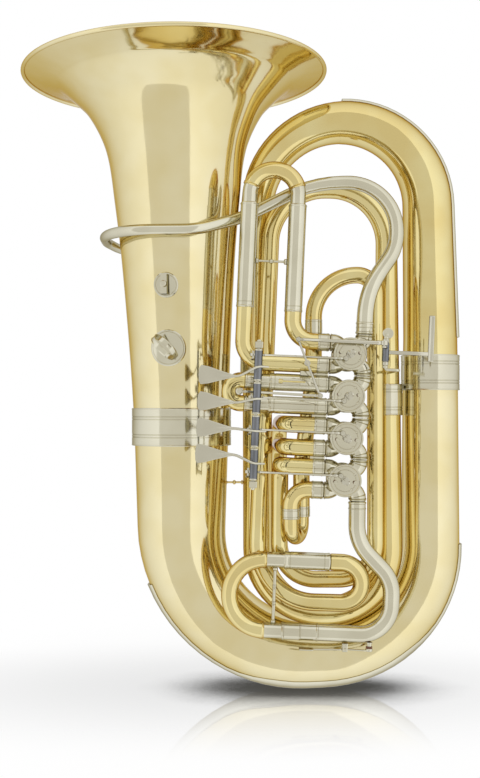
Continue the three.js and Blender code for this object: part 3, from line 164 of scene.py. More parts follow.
for name, place, size, power in (
    ("lamp_left", (-1.9, -1.3, 1.3), (0.7, 1.6), 12),
    ("lamp_right", (1.9, -1.0, 1.2), (0.6, 1.6), 10),
    ("lamp_top", (0.1, -0.4, 2.4), (1.6, 1.2), 18),
):
    lamp_data = bpy.data.lights.new(name, "AREA")
    lamp_data.shape = "RECTANGLE"
    lamp_data.size, lamp_data.size_y = size
    lamp_data.energy = power
    lamp = into_scene(name, lamp_data)
    lamp.location = place
    lamp.visible_glossy = False
    lamp.rotation_mode = "QUATERNION"
    lamp.rotation_quaternion = (horn_middle - Vector(place)).to_track_quat("-Z", "Y")

card_place = Vector((-0.75, -3.4, -0.9))
to_horn = Vector((-card_place.x, -card_place.y, 0)).to_track_quat("Z", "Y")
card, tree = sheet("room_behind_camera", 5.2, 10.4,
                   Matrix.Translation(card_place) @ to_horn.to_matrix().to_4x4())
card.visible_camera = card.visible_diffuse = card.visible_shadow = card.visible_transmission = False
glow = add_node(tree, "Emission", sockets={"Color": linear("#FFFDF8"), "Strength": 0.76})
add_node(tree, "OutputMaterial", sockets={"Surface": glow.outputs[0]})

# Bell: sheet brass spun over a former in one piece, its edge rolled over a wire, then polished and
# lacquered. It leans a little to the left over its foot. The lacquer adds a thin clear gloss over the gold.


def moved(x, y, z):
    """A shift by x, y and z."""
    return Matrix.Translation((x, y, z))


def turned(degrees, axis):
    """A turn about an axis through the origin."""
    return Matrix.Rotation(math.radians(degrees), 4, axis)


mm = 0.001
horn_place = moved(-3.559, 0, 2.085)


def polished_metal(name, light, deep, edge, roughness, lacquer=0.0):
    """A polished metal: hardly any colour change, faint hand-polishing waves, a little uneven gloss."""
    metal = bpy.data.materials.new(name)
    metal.use_nodes = True
    tree = metal.node_tree
    shader = tree.nodes["Principled BSDF"]
    for socket, value in (("Metallic", 1.0), ("Coat Weight", lacquer), ("Coat Roughness", 0.04),
                          ("Specular Tint", linear(edge))):
        shader.inputs[socket].default_value = value
    place = add_node(tree, "TexCoord").outputs["Object"]

    def noise(grain, detail):
        """The strength of a noise with grains of that size."""
        return add_node(tree, "TexNoise", sockets={
            "Vector": place, "Scale": 1 / grain, "Detail": detail}).outputs["Fac"]

    ramp = add_node(tree, "ValToRGB", sockets={"Fac": noise(70 * mm, 2.0)})
    for stop, position, colour in zip(ramp.color_ramp.elements, (0.35, 0.65), (deep, light)):
        stop.position = position
        stop.color = linear(colour)
    tree.links.new(ramp.outputs["Color"], shader.inputs["Base Color"])
    gloss = ramped(tree, noise(9 * mm, 3.0), 0.3, 0.7, roughness * 0.75, roughness * 1.25)
    tree.links.new(gloss, shader.inputs["Roughness"])
    dents = add_node(tree, "Bump", sockets={
        "Height": noise(28 * mm, 1.0), "Strength": 0.25, "Distance": 0.6 * mm})
    tree.links.new(dents.outputs["Normal"], shader.inputs["Normal"])
    return metal


spun_brass = polished_metal(
    "spun_lacquered_brass", "#EDE2B8", "#E8DAA8", "#D9BC70", 0.085, 0.15)
drawn_brass = polished_metal(
    "drawn_lacquered_brass", "#EADCA2", "#E3CF8E", "#C0902E", 0.075, 0.15)
nickel_silver = polished_metal(
    "polished_nickel_silver", "#DFDBC6", "#D3CEB8", "#C4BCA4", 0.11)
bright_steel = polished_metal("bright_steel", "#D9D5C4", "#CCC8B6", "#A8A28E", 0.14)


def fit(name, shape, metal, node=None, place=horn_place, body="horn"):
    """Cleans a finished shape, sets it in its place in metres, gives it metal and body, and hides the CAD
    node it replaces.
    """
    bmesh.ops.remove_doubles(shape, verts=shape.verts, dist=0.001)
    bmesh.ops.recalc_face_normals(shape, faces=shape.faces)
    shape.transform(Matrix.Scale(mm, 4) @ place)
    piece = mesh_object(name, shape)
    piece.data.polygons.foreach_set("use_smooth", [True] * len(piece.data.polygons))
    piece.data.set_sharp_from_angle(angle=math.radians(32))
    piece.data.materials.append(metal)
    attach(piece, body)
    if node:
        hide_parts(node)


def lathe(shape, profile, place=Matrix.Identity(4), steps=48):
    """Turns a closed outline of (radius, height) points about its own Z and sets it in its place."""
    verts = [shape.verts.new((radius, 0, height)) for radius, height in profile]
    edges = [shape.edges.new(pair) for pair in zip(verts, verts[1:] + verts[:1])]
    made = bmesh.ops.spin(shape, geom=verts + edges, cent=(0, 0, 0), axis=(0, 0, 1), dvec=(0, 0, 0),
                          angle=math.tau, steps=steps, use_merge=True, use_duplicate=False)
    new = {v for v in verts + made["geom_last"] if isinstance(v, bmesh.types.BMVert) and v.is_valid}
    waiting = list(new)
    for vert in waiting:
        for edge in vert.link_edges:
            other = edge.other_vert(vert)
            if other not in new:
                new.add(other)
                waiting.append(other)
    bmesh.ops.transform(shape, matrix=place, verts=list(new))
    return shape


def rounded(points, steps=6):
    """A smooth line through the points, with some steps between each two."""
    line = []
    for i in range(len(points) - 1):
        ends = [points[max(i - 1, 0)], points[i], points[i + 1], points[min(i + 2, len(points) - 1)]]
        a, b, c, d = (Vector(p) for p in ends)
        for k in range(steps):
            t = k / steps
            line.append(tuple(0.5 * (2 * b + (c - a) * t + (2 * a - 5 * b + 4 * c - d) * t * t
                                     + (3 * b - a - 3 * c + d) * t ** 3)))
    return line + [tuple(points[-1])]


bell_x, bell_base, bell_lean = -87, 387.744, math.radians(1.1)
bell_foot, bell_rim, bell_height, bell_wall, bead = 70, 222.5, 520, 1.6, 3
flare_shares = ((0, 0), (0.03, 0.2), (0.093, 0.475), (0.152, 0.647), (0.195, 0.75), (0.262, 0.819),
                (0.386, 0.888), (0.515, 0.929), (0.65, 0.963), (0.72, 0.974), (0.81, 0.984),
                (0.905, 0.9925), (0.98, 0.999))
outside = rounded([(bell_foot + (bell_rim - bell_foot) * r, bell_height * z, 0) for r, z in flare_shares])
outside = [(r, z) for r, z, _ in outside]
rolled_wire = [(bell_rim + bead * math.cos(a), bell_height + bead * math.sin(a))
               for a in (math.radians(k) for k in range(-150, 151, 20))]
inside = [(r - bell_wall, z + bell_wall * min(r / bell_rim, 1)) for r, z in outside[::-1]]
inside[-1] = (bell_foot - bell_wall, 0)
bell_place = horn_place @ moved(bell_x, 0, bell_base) @ Matrix.Rotation(-bell_lean, 4, "Y")
fit("bell_spun", lathe(bmesh.new(), outside + rolled_wire + inside, steps=128), spun_brass, "bell",
    bell_place)

# Bottom bow: a great bow of brass bent from a tapered tube, which joins the bell's foot to the outer
# branch. The same way of bending makes all the tubes: straight runs with round bends, drawn to a taper.


def bent(corners, turn_step=5.0):
    """Points along a line of (x, y, z, bend radius) corners."""
    points = [Vector(corners[0][:3])]
    for before, corner, after in zip(corners, corners[1:], corners[2:]):
        at = Vector(corner[:3])
        if len(corner) < 4:
            points.append(at)
            continue
        back = (Vector(before[:3]) - at).normalized()
        on = (Vector(after[:3]) - at).normalized()
        turn = math.pi - back.angle(on)
        reach = corner[3] * math.tan(turn / 2)
        centre = at + (back + on).normalized() * (corner[3] / math.cos(turn / 2))
        arm = at + back * reach - centre
        axis = on.cross(back).normalized()
        steps = max(1, round(math.degrees(turn) / turn_step))
        points += [centre + Matrix.Rotation(turn * k / steps, 3, axis) @ arm for k in range(steps + 1)]
    points.append(Vector(corners[-1][:3]))
    kept = points[:1]
    for point in points[1:]:
        if (point - kept[-1]).length > 0.05:
            kept.append(point)
    return kept


def stations(corners, radius, span=None, beads=()):
    """(point, heading, radius) along a tube, or along the span between two distances from its start. A
    negative distance counts back from the end. A bead is (distance along the piece, width, height)."""
    chamfer = 0.5
    points = bent(corners)
    at = [0.0]
    for a, b in zip(points, points[1:]):
        at.append(at[-1] + (b - a).length)
    length = at[-1]
    first, last = [length + s if s < 0 else s for s in (span or (0, length))]

    def radius_at(s):
        """The tube's radius at a distance from its start."""
        if not isinstance(radius, (list, tuple)):
            return radius
        share = s / length
        for (s0, r0), (s1, r1) in zip(radius, radius[1:]):
            if share <= s1:
                return r0 + (r1 - r0) * (share - s0) / (s1 - s0)
        return radius[-1][1]

    marks = [(first, -chamfer), (first + chamfer, 0), (last - chamfer, 0), (last, -chamfer)]
    for middle, width, height in beads:
        centre = last + middle if middle < 0 else first + middle
        marks += [(centre - width / 2, 0), (centre - width / 4, height),
                  (centre + width / 4, height), (centre + width / 2, 0)]
    marks += [(s, 0) for s in at if first + chamfer < s < last - chamfer]
    clean = []
    for s, proud in sorted(marks):
        i = 1
        while i < len(at) - 1 and at[i] < s:
            i += 1
        point = points[i - 1].lerp(points[i], (s - at[i - 1]) / (at[i] - at[i - 1]))
        if not clean or (point - clean[-1][0]).length > 0.02:
            clean.append((point, radius_at(s) + proud))
    found = []
    for i, (point, here) in enumerate(clean):
        before, after = clean[max(i - 1, 0)][0], clean[min(i + 1, len(clean) - 1)][0]
        found.append((point, (after - before).normalized(), here))
    return found


def grown_ring(shape, edges):
    """Extrudes a ring of edges, and gives the points and edges of the new ring."""
    made = bmesh.ops.extrude_edge_only(shape, edges=edges)["geom"]
    verts = [g for g in made if isinstance(g, bmesh.types.BMVert)]
    new = set(verts)
    return verts, [g for g in made if isinstance(g, bmesh.types.BMEdge) and new.issuperset(g.verts)]


def sweep(shape, rings, sides, closed):
    """Draws a ring along stations, and joins its ends to each other or caps them."""
    heading, twist, before = Vector((0, 0, 1)), Quaternion(), None
    for point, direction, radius in rings:
        twist = heading.rotation_difference(direction) @ twist
        heading = direction
        matrix = Matrix.Translation(point) @ twist.to_matrix().to_4x4() @ Matrix.Scale(radius, 4)
        if before is None:
            verts = bmesh.ops.create_circle(shape, segments=sides, radius=1, matrix=matrix)["verts"]
            edges = first = list({e for v in verts for e in v.link_edges})
        else:
            verts, edges = grown_ring(shape, edges)
            bmesh.ops.transform(shape, matrix=matrix @ before.inverted(), verts=verts)
        before = matrix
    if closed:
        bmesh.ops.bridge_loops(shape, edges=first + edges)
    else:
        bmesh.ops.contextual_create(shape, geom=first)
        bmesh.ops.contextual_create(shape, geom=edges)


def pipe(shape, corners, radius, wall, sides=32, span=None, beads=()):
    """An open tube with a wall. Without a wall it is a solid rod."""
    outer = stations(corners, radius, span, beads)
    if wall:
        inner = [(p, h, r - wall) for p, h, r in outer]
        sweep(shape, outer + inner[::-1], sides, True)
    else:
        sweep(shape, outer, sides, False)
    return shape


bow_line = ((bell_x, 0, 385.6), (bell_x, 0, 52.5, 185), (283, 0, 52.5, 160), (283, 0, 465.6))
bow_taper = ((0, 70), (0.17, 64.75), (0.5, 49), (0.75, 42.625), (1, 40.5))
fit("bottom_bow_tube", pipe(bmesh.new(), bow_line, bow_taper, 1.4, 72), spun_brass, "bottom_bow")

# Outer branch: the second largest tube, over the top of the horn and down beside the bell.
# It is drawn from one long tapered tube, like the second bow and the inner branch after it.
arch_line = ((283, 0, 466.4), (283, 0, 518), (276, 0, 840, 128), (26, 12, 840, 128), (26, 12, 470.4))
arch_taper = ((0, 40.5), (0.33, 36), (0.5, 31.5), (0.75, 23), (1, 22))
sheet_wall = 1.2
fit("outer_branch_tube", pipe(bmesh.new(), arch_line, arch_taper, sheet_wall, 64), drawn_brass,
    "outer_branch")

# Second bow: the next tube inwards, a long U behind the main tuning slide.
# It comes forward from the plane of the outer branch, to clear the bottom bow.
second_line = ((26, 12, 469.6), (26, 12, 437.8, 60), (26, -36, 118, 92), (217, -36, 118, 92),
               (217, -14, 393.8, 60), (217, -14, 425.6))
fit("second_bow_tube", pipe(bmesh.new(), second_line, ((0, 22), (1, 20)), sheet_wall, 48), drawn_brass,
    "second_bow")

# Inner branch: from the third joint over the inner top, and down round to the upper leg of the main
# tuning slide. It passes behind the valves.
inner_line = ((217, -14, 426.4), (215, -20, 736, 82), (47, -20, 736, 82), (22, -64, 138, 82),
              (170.97, -87.2, 138, 30), (170.97, -98, 195.91, 30), (126.62, -98, 197.85))
inner_taper = ((0, 18.5), (0.32, 14), (0.6, 13.05), (1, 12.1))
fit("inner_branch_tube", pipe(bmesh.new(), inner_line, inner_taper, sheet_wall, 40), drawn_brass,
    "inner_branch")

# Ferrules: rings of nickel silver soldered over the joints between the large tubes.
# Each has a pair of fine turned lines near both of its edges.
for name, x, y, low, high, radius, inset, sides in (
    ("bell", bell_x, 0, 358.5, 413.5, 73.6, 14.5, 96),
    ("outer", 283, 0, 440, 492, 43.1, 12, 64),
    ("second", 26, 12, 447, 493, 25.6, 10, 48),
    ("third", 217, -14, 403, 449, 22.6, 10, 48),
):
    grooves = [(side * (inset + step), 1.6, -0.5) for side in (1, -1) for step in (-1.9, 1.9)]
    ferrule_shape = pipe(bmesh.new(), ((x, y, low), (x, y, high)), radius, 1.3, sides,
                         beads=grooves + [(1.4, 1.6, 0.4), (-1.4, 1.6, 0.4)])
    fit(name + "_joint_ferrule", ferrule_shape, nickel_silver, name + "_ferrule")

# Guards: strips of nickel silver formed over the outside of the bends and soldered down, to take the
# knocks. The lower one widens to a cap where the horn is set down.
strip_half, cap_extra, cap_from, cap_to, cap_ease = 26, 16, 0.36, 0.64, 0.05


def guard(name, node, corners, taper, from_share, to_share, angle_at):
    """A curved strip on the outer side of a tube, thick in the middle and thinned at its edges."""
    strip_gap, strip_thick, edge_share, edge_power, steps = 0.1, 3.1, 0.2, 10, 20
    rings = stations(corners, taper)
    total = sum((b[0] - a[0]).length for a, b in zip(rings, rings[1:]))
    shape = bmesh.new()
    done, edges, sideways = 0.0, [], Vector((0, 1, 0))
    for i, (point, heading, radius) in enumerate(rings):
        if i:
            done += (point - rings[i - 1][0]).length
        if not from_share <= done / total <= to_share:
            continue
        out = sideways.cross(heading).normalized()
        half = math.radians(angle_at(done / total))
        places = []
        for lift, across in ((strip_thick, range(-steps, steps + 1)), (0, range(steps, -steps - 1, -1))):
            for k in across:
                angle = half * k / steps
                full = edge_share + (1 - edge_share) * (1 - abs(k / steps) ** edge_power)
                reach = radius + strip_gap + lift * full
                places.append(point + out * reach * math.cos(angle) + sideways * reach * math.sin(angle))
        if not edges:
            ring = [shape.verts.new(p) for p in places]
            edges = first = [shape.edges.new(pair) for pair in zip(ring, ring[1:] + ring[:1])]
            continue
        new, edges = grown_ring(shape, edges)
        ring = [next(e.other_vert(v) for e in v.link_edges if e.other_vert(v) in new) for v in ring]
        for vert, place in zip(ring, places):
            vert.co = place
    bmesh.ops.contextual_create(shape, geom=first)
    bmesh.ops.contextual_create(shape, geom=edges)
    fit(name, shape, nickel_silver, node)


def bow_guard_angle(share):
    """Half the strip's width, as an angle round the tube: wider under the bow."""
    rise = min(1, max(0, (share - cap_from) / cap_ease))
    return strip_half + cap_extra * rise * min(1, max(0, (cap_to - share) / cap_ease))


guard("bow_guard_strip", "bow_guard", bow_line, bow_taper, 0.21, 0.75, bow_guard_angle)
guard("branch_guard_strip", "branch_guard", arch_line, arch_taper, 0.04, 0.51, lambda share: strip_half)

# Valve casings: cast and turned barrels of nickel silver, each with four port tubes. The two on the right
# join the valves to each other, and the two on the left go to the valve's own slide.
# From here to the water key all sits in a frame that leans over by 2.5 degrees, with X across and Z up.
section_place = horn_place @ moved(152.4, -98, 488) @ turned(2.5, "Y")
pitch, port = 58.3, 16
slide, slide_wall, tube, tube_wall, collar, collar_wall = 10.75, 0.8, 11.9, 1.0, 12.4, 1.2
facing = turned(90, "X")
valves = [(number, -pitch * i, 1 if i < 2 else -1, section_place @ moved(0, 0, -pitch * i))
          for i, number in enumerate(("first", "second", "third", "fourth"))]


def soft_ring(inner, radius, low, high, across, along):
    """The outline of a ring or disc whose outer edges are taken off."""
    return [(inner, low), (radius - across, low), (radius, low + along), (radius, high - along),
            (radius - across, high), (inner, high)]


def drum(shape, radius, near, far, x=0.0, z=0.0, soft=0.4, steps=40):
    """A disc or pin whose axis runs front to back, with softened edges."""
    lathe(shape, soft_ring(0, radius, -far, -near, soft, soft), moved(x, 0, z) @ facing, steps)


def block(shape, size, place, soft=0.6):
    """A bar with softened edges."""
    cube = bmesh.ops.create_cube(shape, size=1, matrix=place @ Matrix.Diagonal((*size, 1)))
    soften(shape, list({e for v in cube["verts"] for e in v.link_edges}), soft, 2)


def soften(shape, edges, offset, segments):
    """Rounds some edges off."""
    bmesh.ops.bevel(shape, geom=edges, offset=offset, offset_type="OFFSET", segments=segments,
                    profile=0.5, affect="EDGES", material=-1, clamp_overlap=True)


for number, _, _, place in valves:
    casing_shape = bmesh.new()
    shell = [(19.7, -21), (21.8, -21), (21.8, -17.5), (21.2, -17), (21.2, 17), (21.8, 17.5), (21.8, 21),
             (19.7, 21)]
    lathe(casing_shape, shell, facing, 64)
    for side in (1, -1):
        main = ((8, 0, 8 * side), (20.5, 0, 20.5 * side, 13), (20.5, 0, 28.75 * side))
        pipe(casing_shape, main, tube, 2.0, beads=((-2.6, 2.4, 0.9), (-6.4, 1.2, 0.6)))
        slide_port = ((-6, 0, 6 * side), (-16, 0, port * side, 13), (-27, 0, port * side))
        pipe(casing_shape, slide_port, ((0, 9.2), (0.4, 10.2), (0.75, 11.8), (1, tube)), 1.8,
             beads=((-1.6, 1.6, 0.6),))
    fit(number + "_casing", casing_shape, nickel_silver, number + "_valve_casing", place)

# Front plates and back caps: the plate is screwed on, with three oil holes, a raised rim and two posts
# whose cork bumpers stop the arm. The back cap unscrews by its plain rim.
cork = bpy.data.materials.new("pressed_cork")
cork.use_nodes = True
tree = cork.node_tree
shader = tree.nodes["Principled BSDF"]
shader.inputs["Roughness"].default_value = 0.85
granules = add_node(tree, "TexVoronoi", sockets={
    "Vector": add_node(tree, "TexCoord").outputs["Object"], "Scale": 1 / (0.9 * mm)})
ramp = add_node(tree, "ValToRGB", sockets={"Fac": granules.outputs["Color"]})
ramp.color_ramp.elements[0].color = linear("#57382A")
ramp.color_ramp.elements[1].color = linear("#936448")
tree.links.new(ramp.outputs["Color"], shader.inputs["Base Color"])

plate_line = [(4.6, 25.0), (14.6, 25.0), (14.9, 24.6), (15.4, 24.6), (15.7, 25.0), (19.8, 25.0),
              (20.2, 25.4), (22.2, 25.4), (22.9, 24.7), (22.9, 22.0), (22.3, 21.4), (4.6, 21.4)]
cap_line = [(0, -21.3), (22.9, -21.3), (22.9, -25.6), (21.2, -26.4), (19.8, -28.2), (8, -28.3),
            (7, -27.2), (0, -27.2)]
post_x, post_z = 13.5, 2
for number, _, pin_side, place in valves:
    plate_shape = lathe(bmesh.new(), plate_line, facing, 72)
    bumper_shape = bmesh.new()
    for x, z in ((9, 12), (13, -9), (-9, -14)):
        drum(plate_shape, 1.9, -25.8, -24.5, x, z * pin_side, 0.5, 16)
    for side in (1, -1):
        drum(plate_shape, 1.6, -31.4, -24.5, side * post_x, pin_side * post_z, 0.3, 20)
        drum(plate_shape, 2.5, -31.9, -31.1, side * post_x, pin_side * post_z, 0.3, 20)
        drum(bumper_shape, 2.4, -31.0, -25.2, side * post_x, pin_side * post_z, 0.4, 24)
    fit(number + "_front_plate", plate_shape, nickel_silver, number + "_valve_cap", place)
    fit(number + "_bumpers", bumper_shape, cork, place=place)
    fit(number + "_screw_cap", lathe(bmesh.new(), cap_line, facing, 72), nickel_silver,
        number + "_back_cap", place)

# Rotors: turned brass drums inside the casings. Only the stem shows, with its stop arm, the arm's
# clamping screw and the ball that the rod swings on.
pin_reach = 7.07
for number, _, pin_side, place in valves:
    body = number + "_turning_rotor"
    rotor_shape = bmesh.new()
    drum(rotor_shape, 19.0, -20.6, 20.6)
    drum(rotor_shape, 3.2, -30, -18, steps=24)
    fit(number + "_rotor_drum", rotor_shape, drawn_brass, number + "_rotor", place, body)
    arm_shape = bmesh.new()
    x, z = -pin_reach, -pin_reach * pin_side
    drum(arm_shape, 5.6, -31.0, -28.5, soft=0.5)
    drum(arm_shape, 4.2, -33.2, -30.5, soft=0.6)
    drum(arm_shape, 2.2, -34.0, -32.8, steps=20)
    for reach in (10, -7):
        block(arm_shape, (abs(reach), 2.4, 5.6),
              moved(x * reach / 20, -29.7, z * reach / 20) @ turned(-45 * pin_side, "Y"), 0.5)
    drum(arm_shape, 3.3, -31.0, -28.5, x, z, 0.5)
    drum(arm_shape, 1.6, -38.2, -30.5, x, z, 0.3, 20)
    drum(arm_shape, 2.2, -39.0, -37.9, x, z, 0.4, 20)
    fit(number + "_stop_arm", arm_shape, bright_steel, place=place, body=body)

# Levers: spring barrels of blued steel on one long axle, with a bright ring between each two. A forged arm
# and its finger plate come off each barrel to the left, and a crank behind it pushes the rod.
blued_spring = polished_metal("blued_spring_steel", "#8C8E91", "#797B7F", "#5A5C60", 0.18)
key_swing, rest_share, crank, eye_reach, socket_drop = 29.25, 0.35, 28, 7.071, 5.69
axle_x, axle_y, barrel_pitch, barrel_half = -127, -58, 44.6, 21.7
paddle_top, paddle_pitch, paddle_back, paddle_thick = -39, 35, -5.2, 1.9
press, swing = turned(key_swing * rest_share, "Z"), turned(key_swing / 2, "Z")
half_widths = [(-78, 13), (-68, 11.4), (-58, 8.4), (-48, 5.6), (-39, 3.3), (-31, 1.6)]
paddle_line = ([(x, -z) for x, z in half_widths] + half_widths[::-1]
               + [(-80.6, 9), (-81.4, 0), (-80.6, -9)])
for i, (number, drop, pin_side, _) in enumerate(valves):
    middle = -barrel_pitch * (i + 0.5)
    place = section_place @ moved(axle_x, axle_y, middle)
    barrel = soft_ring(2.6, 5.45, 2 - barrel_half, barrel_half - 2, 0.35, 0.6)
    fit(number + "_spring_barrel", lathe(bmesh.new(), barrel, steps=40), blued_spring,
        number + "_lever", place, number + "_key")
    finger_z = paddle_top - paddle_pitch * i - middle
    wire_line = ((14, -4.6, finger_z * 0.12), (-2, -6.4, finger_z * 0.12, 20), (-27, -6.2, finger_z, 24),
                 (-56, -6.0, finger_z))
    lever_shape = pipe(bmesh.new(), wire_line, ((0, 1.3), (0.3, 1.9), (0.8, 1.7), (1, 1.2)), 0, 16)
    verts = [lever_shape.verts.new((x, paddle_back, finger_z + z)) for x, z in paddle_line]
    face = lever_shape.faces.new(verts)
    solid = bmesh.ops.extrude_face_region(lever_shape, geom=[face])["geom"]
    top = {g for g in solid if isinstance(g, bmesh.types.BMVert)}
    bmesh.ops.translate(lever_shape, vec=(0, -paddle_thick, 0), verts=list(top))
    bmesh.ops.transform(lever_shape, matrix=press, verts=lever_shape.verts)
    soften(lever_shape, list({e for v in top for e in v.link_edges if e.other_vert(v) in top}), 0.7, 3)
    for side in (1, -1):
        ring = ((2.5, 2.4), (5.4, 2.4), (5.8, 1.8), (5.8, 0.6), (5.2, 0), (2.5, 0))
        lathe(lever_shape, [(r, side * (barrel_half - inset)) for r, inset in ring], steps=32)
    eye_z = drop - eye_reach * pin_side - middle
    low = eye_z - socket_drop
    block(lever_shape, (5.6, 26, 2.2), swing @ moved(0, 14.5, low - 1.2), 0.5)
    pin = [(0, low - 2.4), (3.0, low - 2.4), (3.2, low - 2.1), (3.2, low - 0.3), (2.9, low), (1.6, low),
           (1.6, eye_z + 5.2), (1.2, eye_z + 5.5), (0, eye_z + 5.5)]
    lathe(lever_shape, pin, swing @ moved(0, crank, 0), 24)
    fit(number + "_finger_lever", lever_shape, bright_steel, place=place, body=number + "_key")

# Connecting rods: thin steel rods, threaded into a ball socket at each end.
# They run level from the lever's crank to the pin of the stop arm.
rod_y = -35.025
reach = axle_x - crank * math.sin(math.radians(key_swing / 2)) + eye_reach
depth = axle_y + crank * math.cos(math.radians(key_swing / 2)) - rod_y
for number, _, pin_side, valve_place in valves:
    rod_shape = lathe(bmesh.new(), soft_ring(1.9, 3.6, -3.4, 3.4, 0.4, 0.8), facing, 28)
    lathe(rod_shape, soft_ring(3.0, 4.6, -2.1, 2.1, 0.4, 0.6), moved(reach, depth, 0), 28)
    pipe(rod_shape, ((-2.6, 0, 0), (reach + 3.8, depth, 0)), 1.45, 0, 16,
         beads=((5, 6, 0.9), (12, 4, 0.6), (-5, 6, 0.9), (-12, 4, 0.6)))
    fit(number + "_connecting_rod", rod_shape, bright_steel, number + "_rod",
        valve_place @ moved(-eye_reach, rod_y, -eye_reach * pin_side), number + "_link")

# Lever frame: two blocks that hold the axle, each on a post from a rail that runs behind the barrels.
# A cap screw over each block keeps the axle in.


def rod(shape, corners, radius, beads=()):
    """A thin solid rod."""
    return pipe(shape, corners, radius, 0, 20, beads=beads)


rail_y, post = -15.4, 2.95
fit("lever_axle_pin", rod(bmesh.new(), ((axle_x, axle_y, -186.4), (axle_x, axle_y, 8)), 2.05),
    bright_steel, "lever_axle", section_place)
frame_shape = rod(bmesh.new(), ((axle_x, rail_y, -186), (axle_x, rail_y, 7.6)), post)
for z, out in ((4.8, 1), (-183.2, -1)):
    block(frame_shape, (11, 11, 9), moved(axle_x, axle_y, z), 1.0)
    rod(frame_shape, ((axle_x, axle_y, z), (axle_x, rail_y, z)), post)
    screw = [(r, out * h) for r, h in ((0, 4), (3.0, 4), (3.0, 6.4), (2.4, 7.2), (0, 7.2))]
    lathe(frame_shape, screw, moved(axle_x, axle_y - 1.2, z), 24)
fit("lever_frame_posts", frame_shape, nickel_silver, "lever_frame", section_place)

# First slide: a tall bow that pulls upwards out of two nickel silver sleeves on brass bends.
# Like the others it starts at the valve's knuckles, and its legs are thinner than the sleeves they run in.
start = -27.8
bow_beads = ((2, 3, 0.6), (-2, 3, 0.6))
cut_lines = ((3, 1.4, -0.4), (-3, 1.4, -0.4))


def sleeve(shape, corners, span=(0.3, 16.8), beads=((2.5, 1.4, 0.5), (-2, 2.2, 0.4))):
    """A sleeve of nickel silver over a stretch of a tube. Without a span it sits at the knuckle."""
    pipe(shape, corners, collar, collar_wall, span=span, beads=beads)


def legs(corners, length, beads=()):
    """The two straight legs of a slide, from the open ends of its bow's line."""
    shape = bmesh.new()
    for line in (corners, corners[::-1]):
        pipe(shape, line, slide, slide_wall, span=(0, length), beads=beads)
    return shape


right_x, left_x, sleeve_top, first_turn = -80.5, -148, 207, 254
brass_shape, nickel_shape = bmesh.new(), bmesh.new()
for x, z, foot in ((right_x, port, -151), (left_x, -port, -147)):
    corners = ((start, 0, z), (x, 0, z, 30), (x, 0, sleeve_top))
    pipe(brass_shape, corners, tube, tube_wall, span=(0, foot + 6))
    sleeve(nickel_shape, corners)
    sleeve(nickel_shape, corners, (foot, -0.2), ((2, 2, 0.4), (8, 1.4, -0.4), (-2, 2.4, 0.5)))
rod(nickel_shape, ((left_x + 11.4, 0, 126), (right_x - 11.4, 0, 126)), 1.7,
    ((2.5, 5, 2.4), (-2.5, 5, 2.4), (22.4, 7, 1.4)))
drum(nickel_shape, 2.6, -40.4, -11.3, -60, -port, steps=24)
drum(nickel_shape, 1.6, -44.2, -40, -60, -port, steps=20)
fit("first_sleeve_bends", brass_shape, drawn_brass, "first_slide_sleeves", section_place)
fit("first_sleeves", nickel_shape, nickel_silver, place=section_place)
half = (right_x - left_x) / 2 - 0.3
first_bow = ((right_x, 0, 80), (right_x, 0, first_turn, half), (left_x, 0, first_turn, half),
             (left_x, 0, 80))
fit("first_slide_legs", legs(first_bow, 151), nickel_silver, "first_slide", section_place, "first_tuning")
fit("first_slide_bow", pipe(bmesh.new(), first_bow, 11.7, 1.6, span=(150, -150), beads=bow_beads),
    drawn_brass, place=section_place, body="first_tuning")

# Second slide: a short slide to the left with a brass bow, worked by the trigger through the stud on its
# stay. Its sleeves have several turned rings.
second_z = -pitch
sleeve_shape = bmesh.new()
for z in (second_z + port, second_z - port):
    pipe(sleeve_shape, ((start, 0, z), (-110, 0, z)), 12.2, collar_wall,
         beads=((2.5, 1.4, 0.5), (14, 1.4, -0.4), (17, 1.4, -0.4), (-2, 2.4, 0.5), (-8, 1.4, -0.4)))
rod(sleeve_shape, ((-39.8, 0, second_z - 5), (-39.8, 0, second_z + 5)), 1.8)
fit("second_sleeves", sleeve_shape, nickel_silver, "second_slide_sleeves", section_place)
crown_x, stud_x, mouth_x, crown_bend = -164.5, -151, -52, 15.7
second_bow_line = ((mouth_x, 0, second_z + port), (crown_x, 0, second_z + port, crown_bend),
                   (crown_x, 0, second_z - port, crown_bend), (mouth_x, 0, second_z - port))
leg_shape = legs(second_bow_line, 92, ((-2, 3, 0.7), (-9, 1.4, 0.4)))
drum(leg_shape, 1.6, -50.5, 0, stud_x, second_z, steps=20)
drum(leg_shape, 4.3, -52.6, -50.3, stud_x, second_z, 1.0, 28)
rod(leg_shape, ((stud_x, 0, second_z - 5.6), (stud_x, 0, second_z + 5.6)), 2.0)
fit("second_slide_legs", leg_shape, nickel_silver, "second_slide", section_place, "second_tuning")
fit("second_slide_bow", pipe(bmesh.new(), second_bow_line, 11.5, 1.5, span=(92, -92)), drawn_brass,
    place=section_place, body="second_tuning")

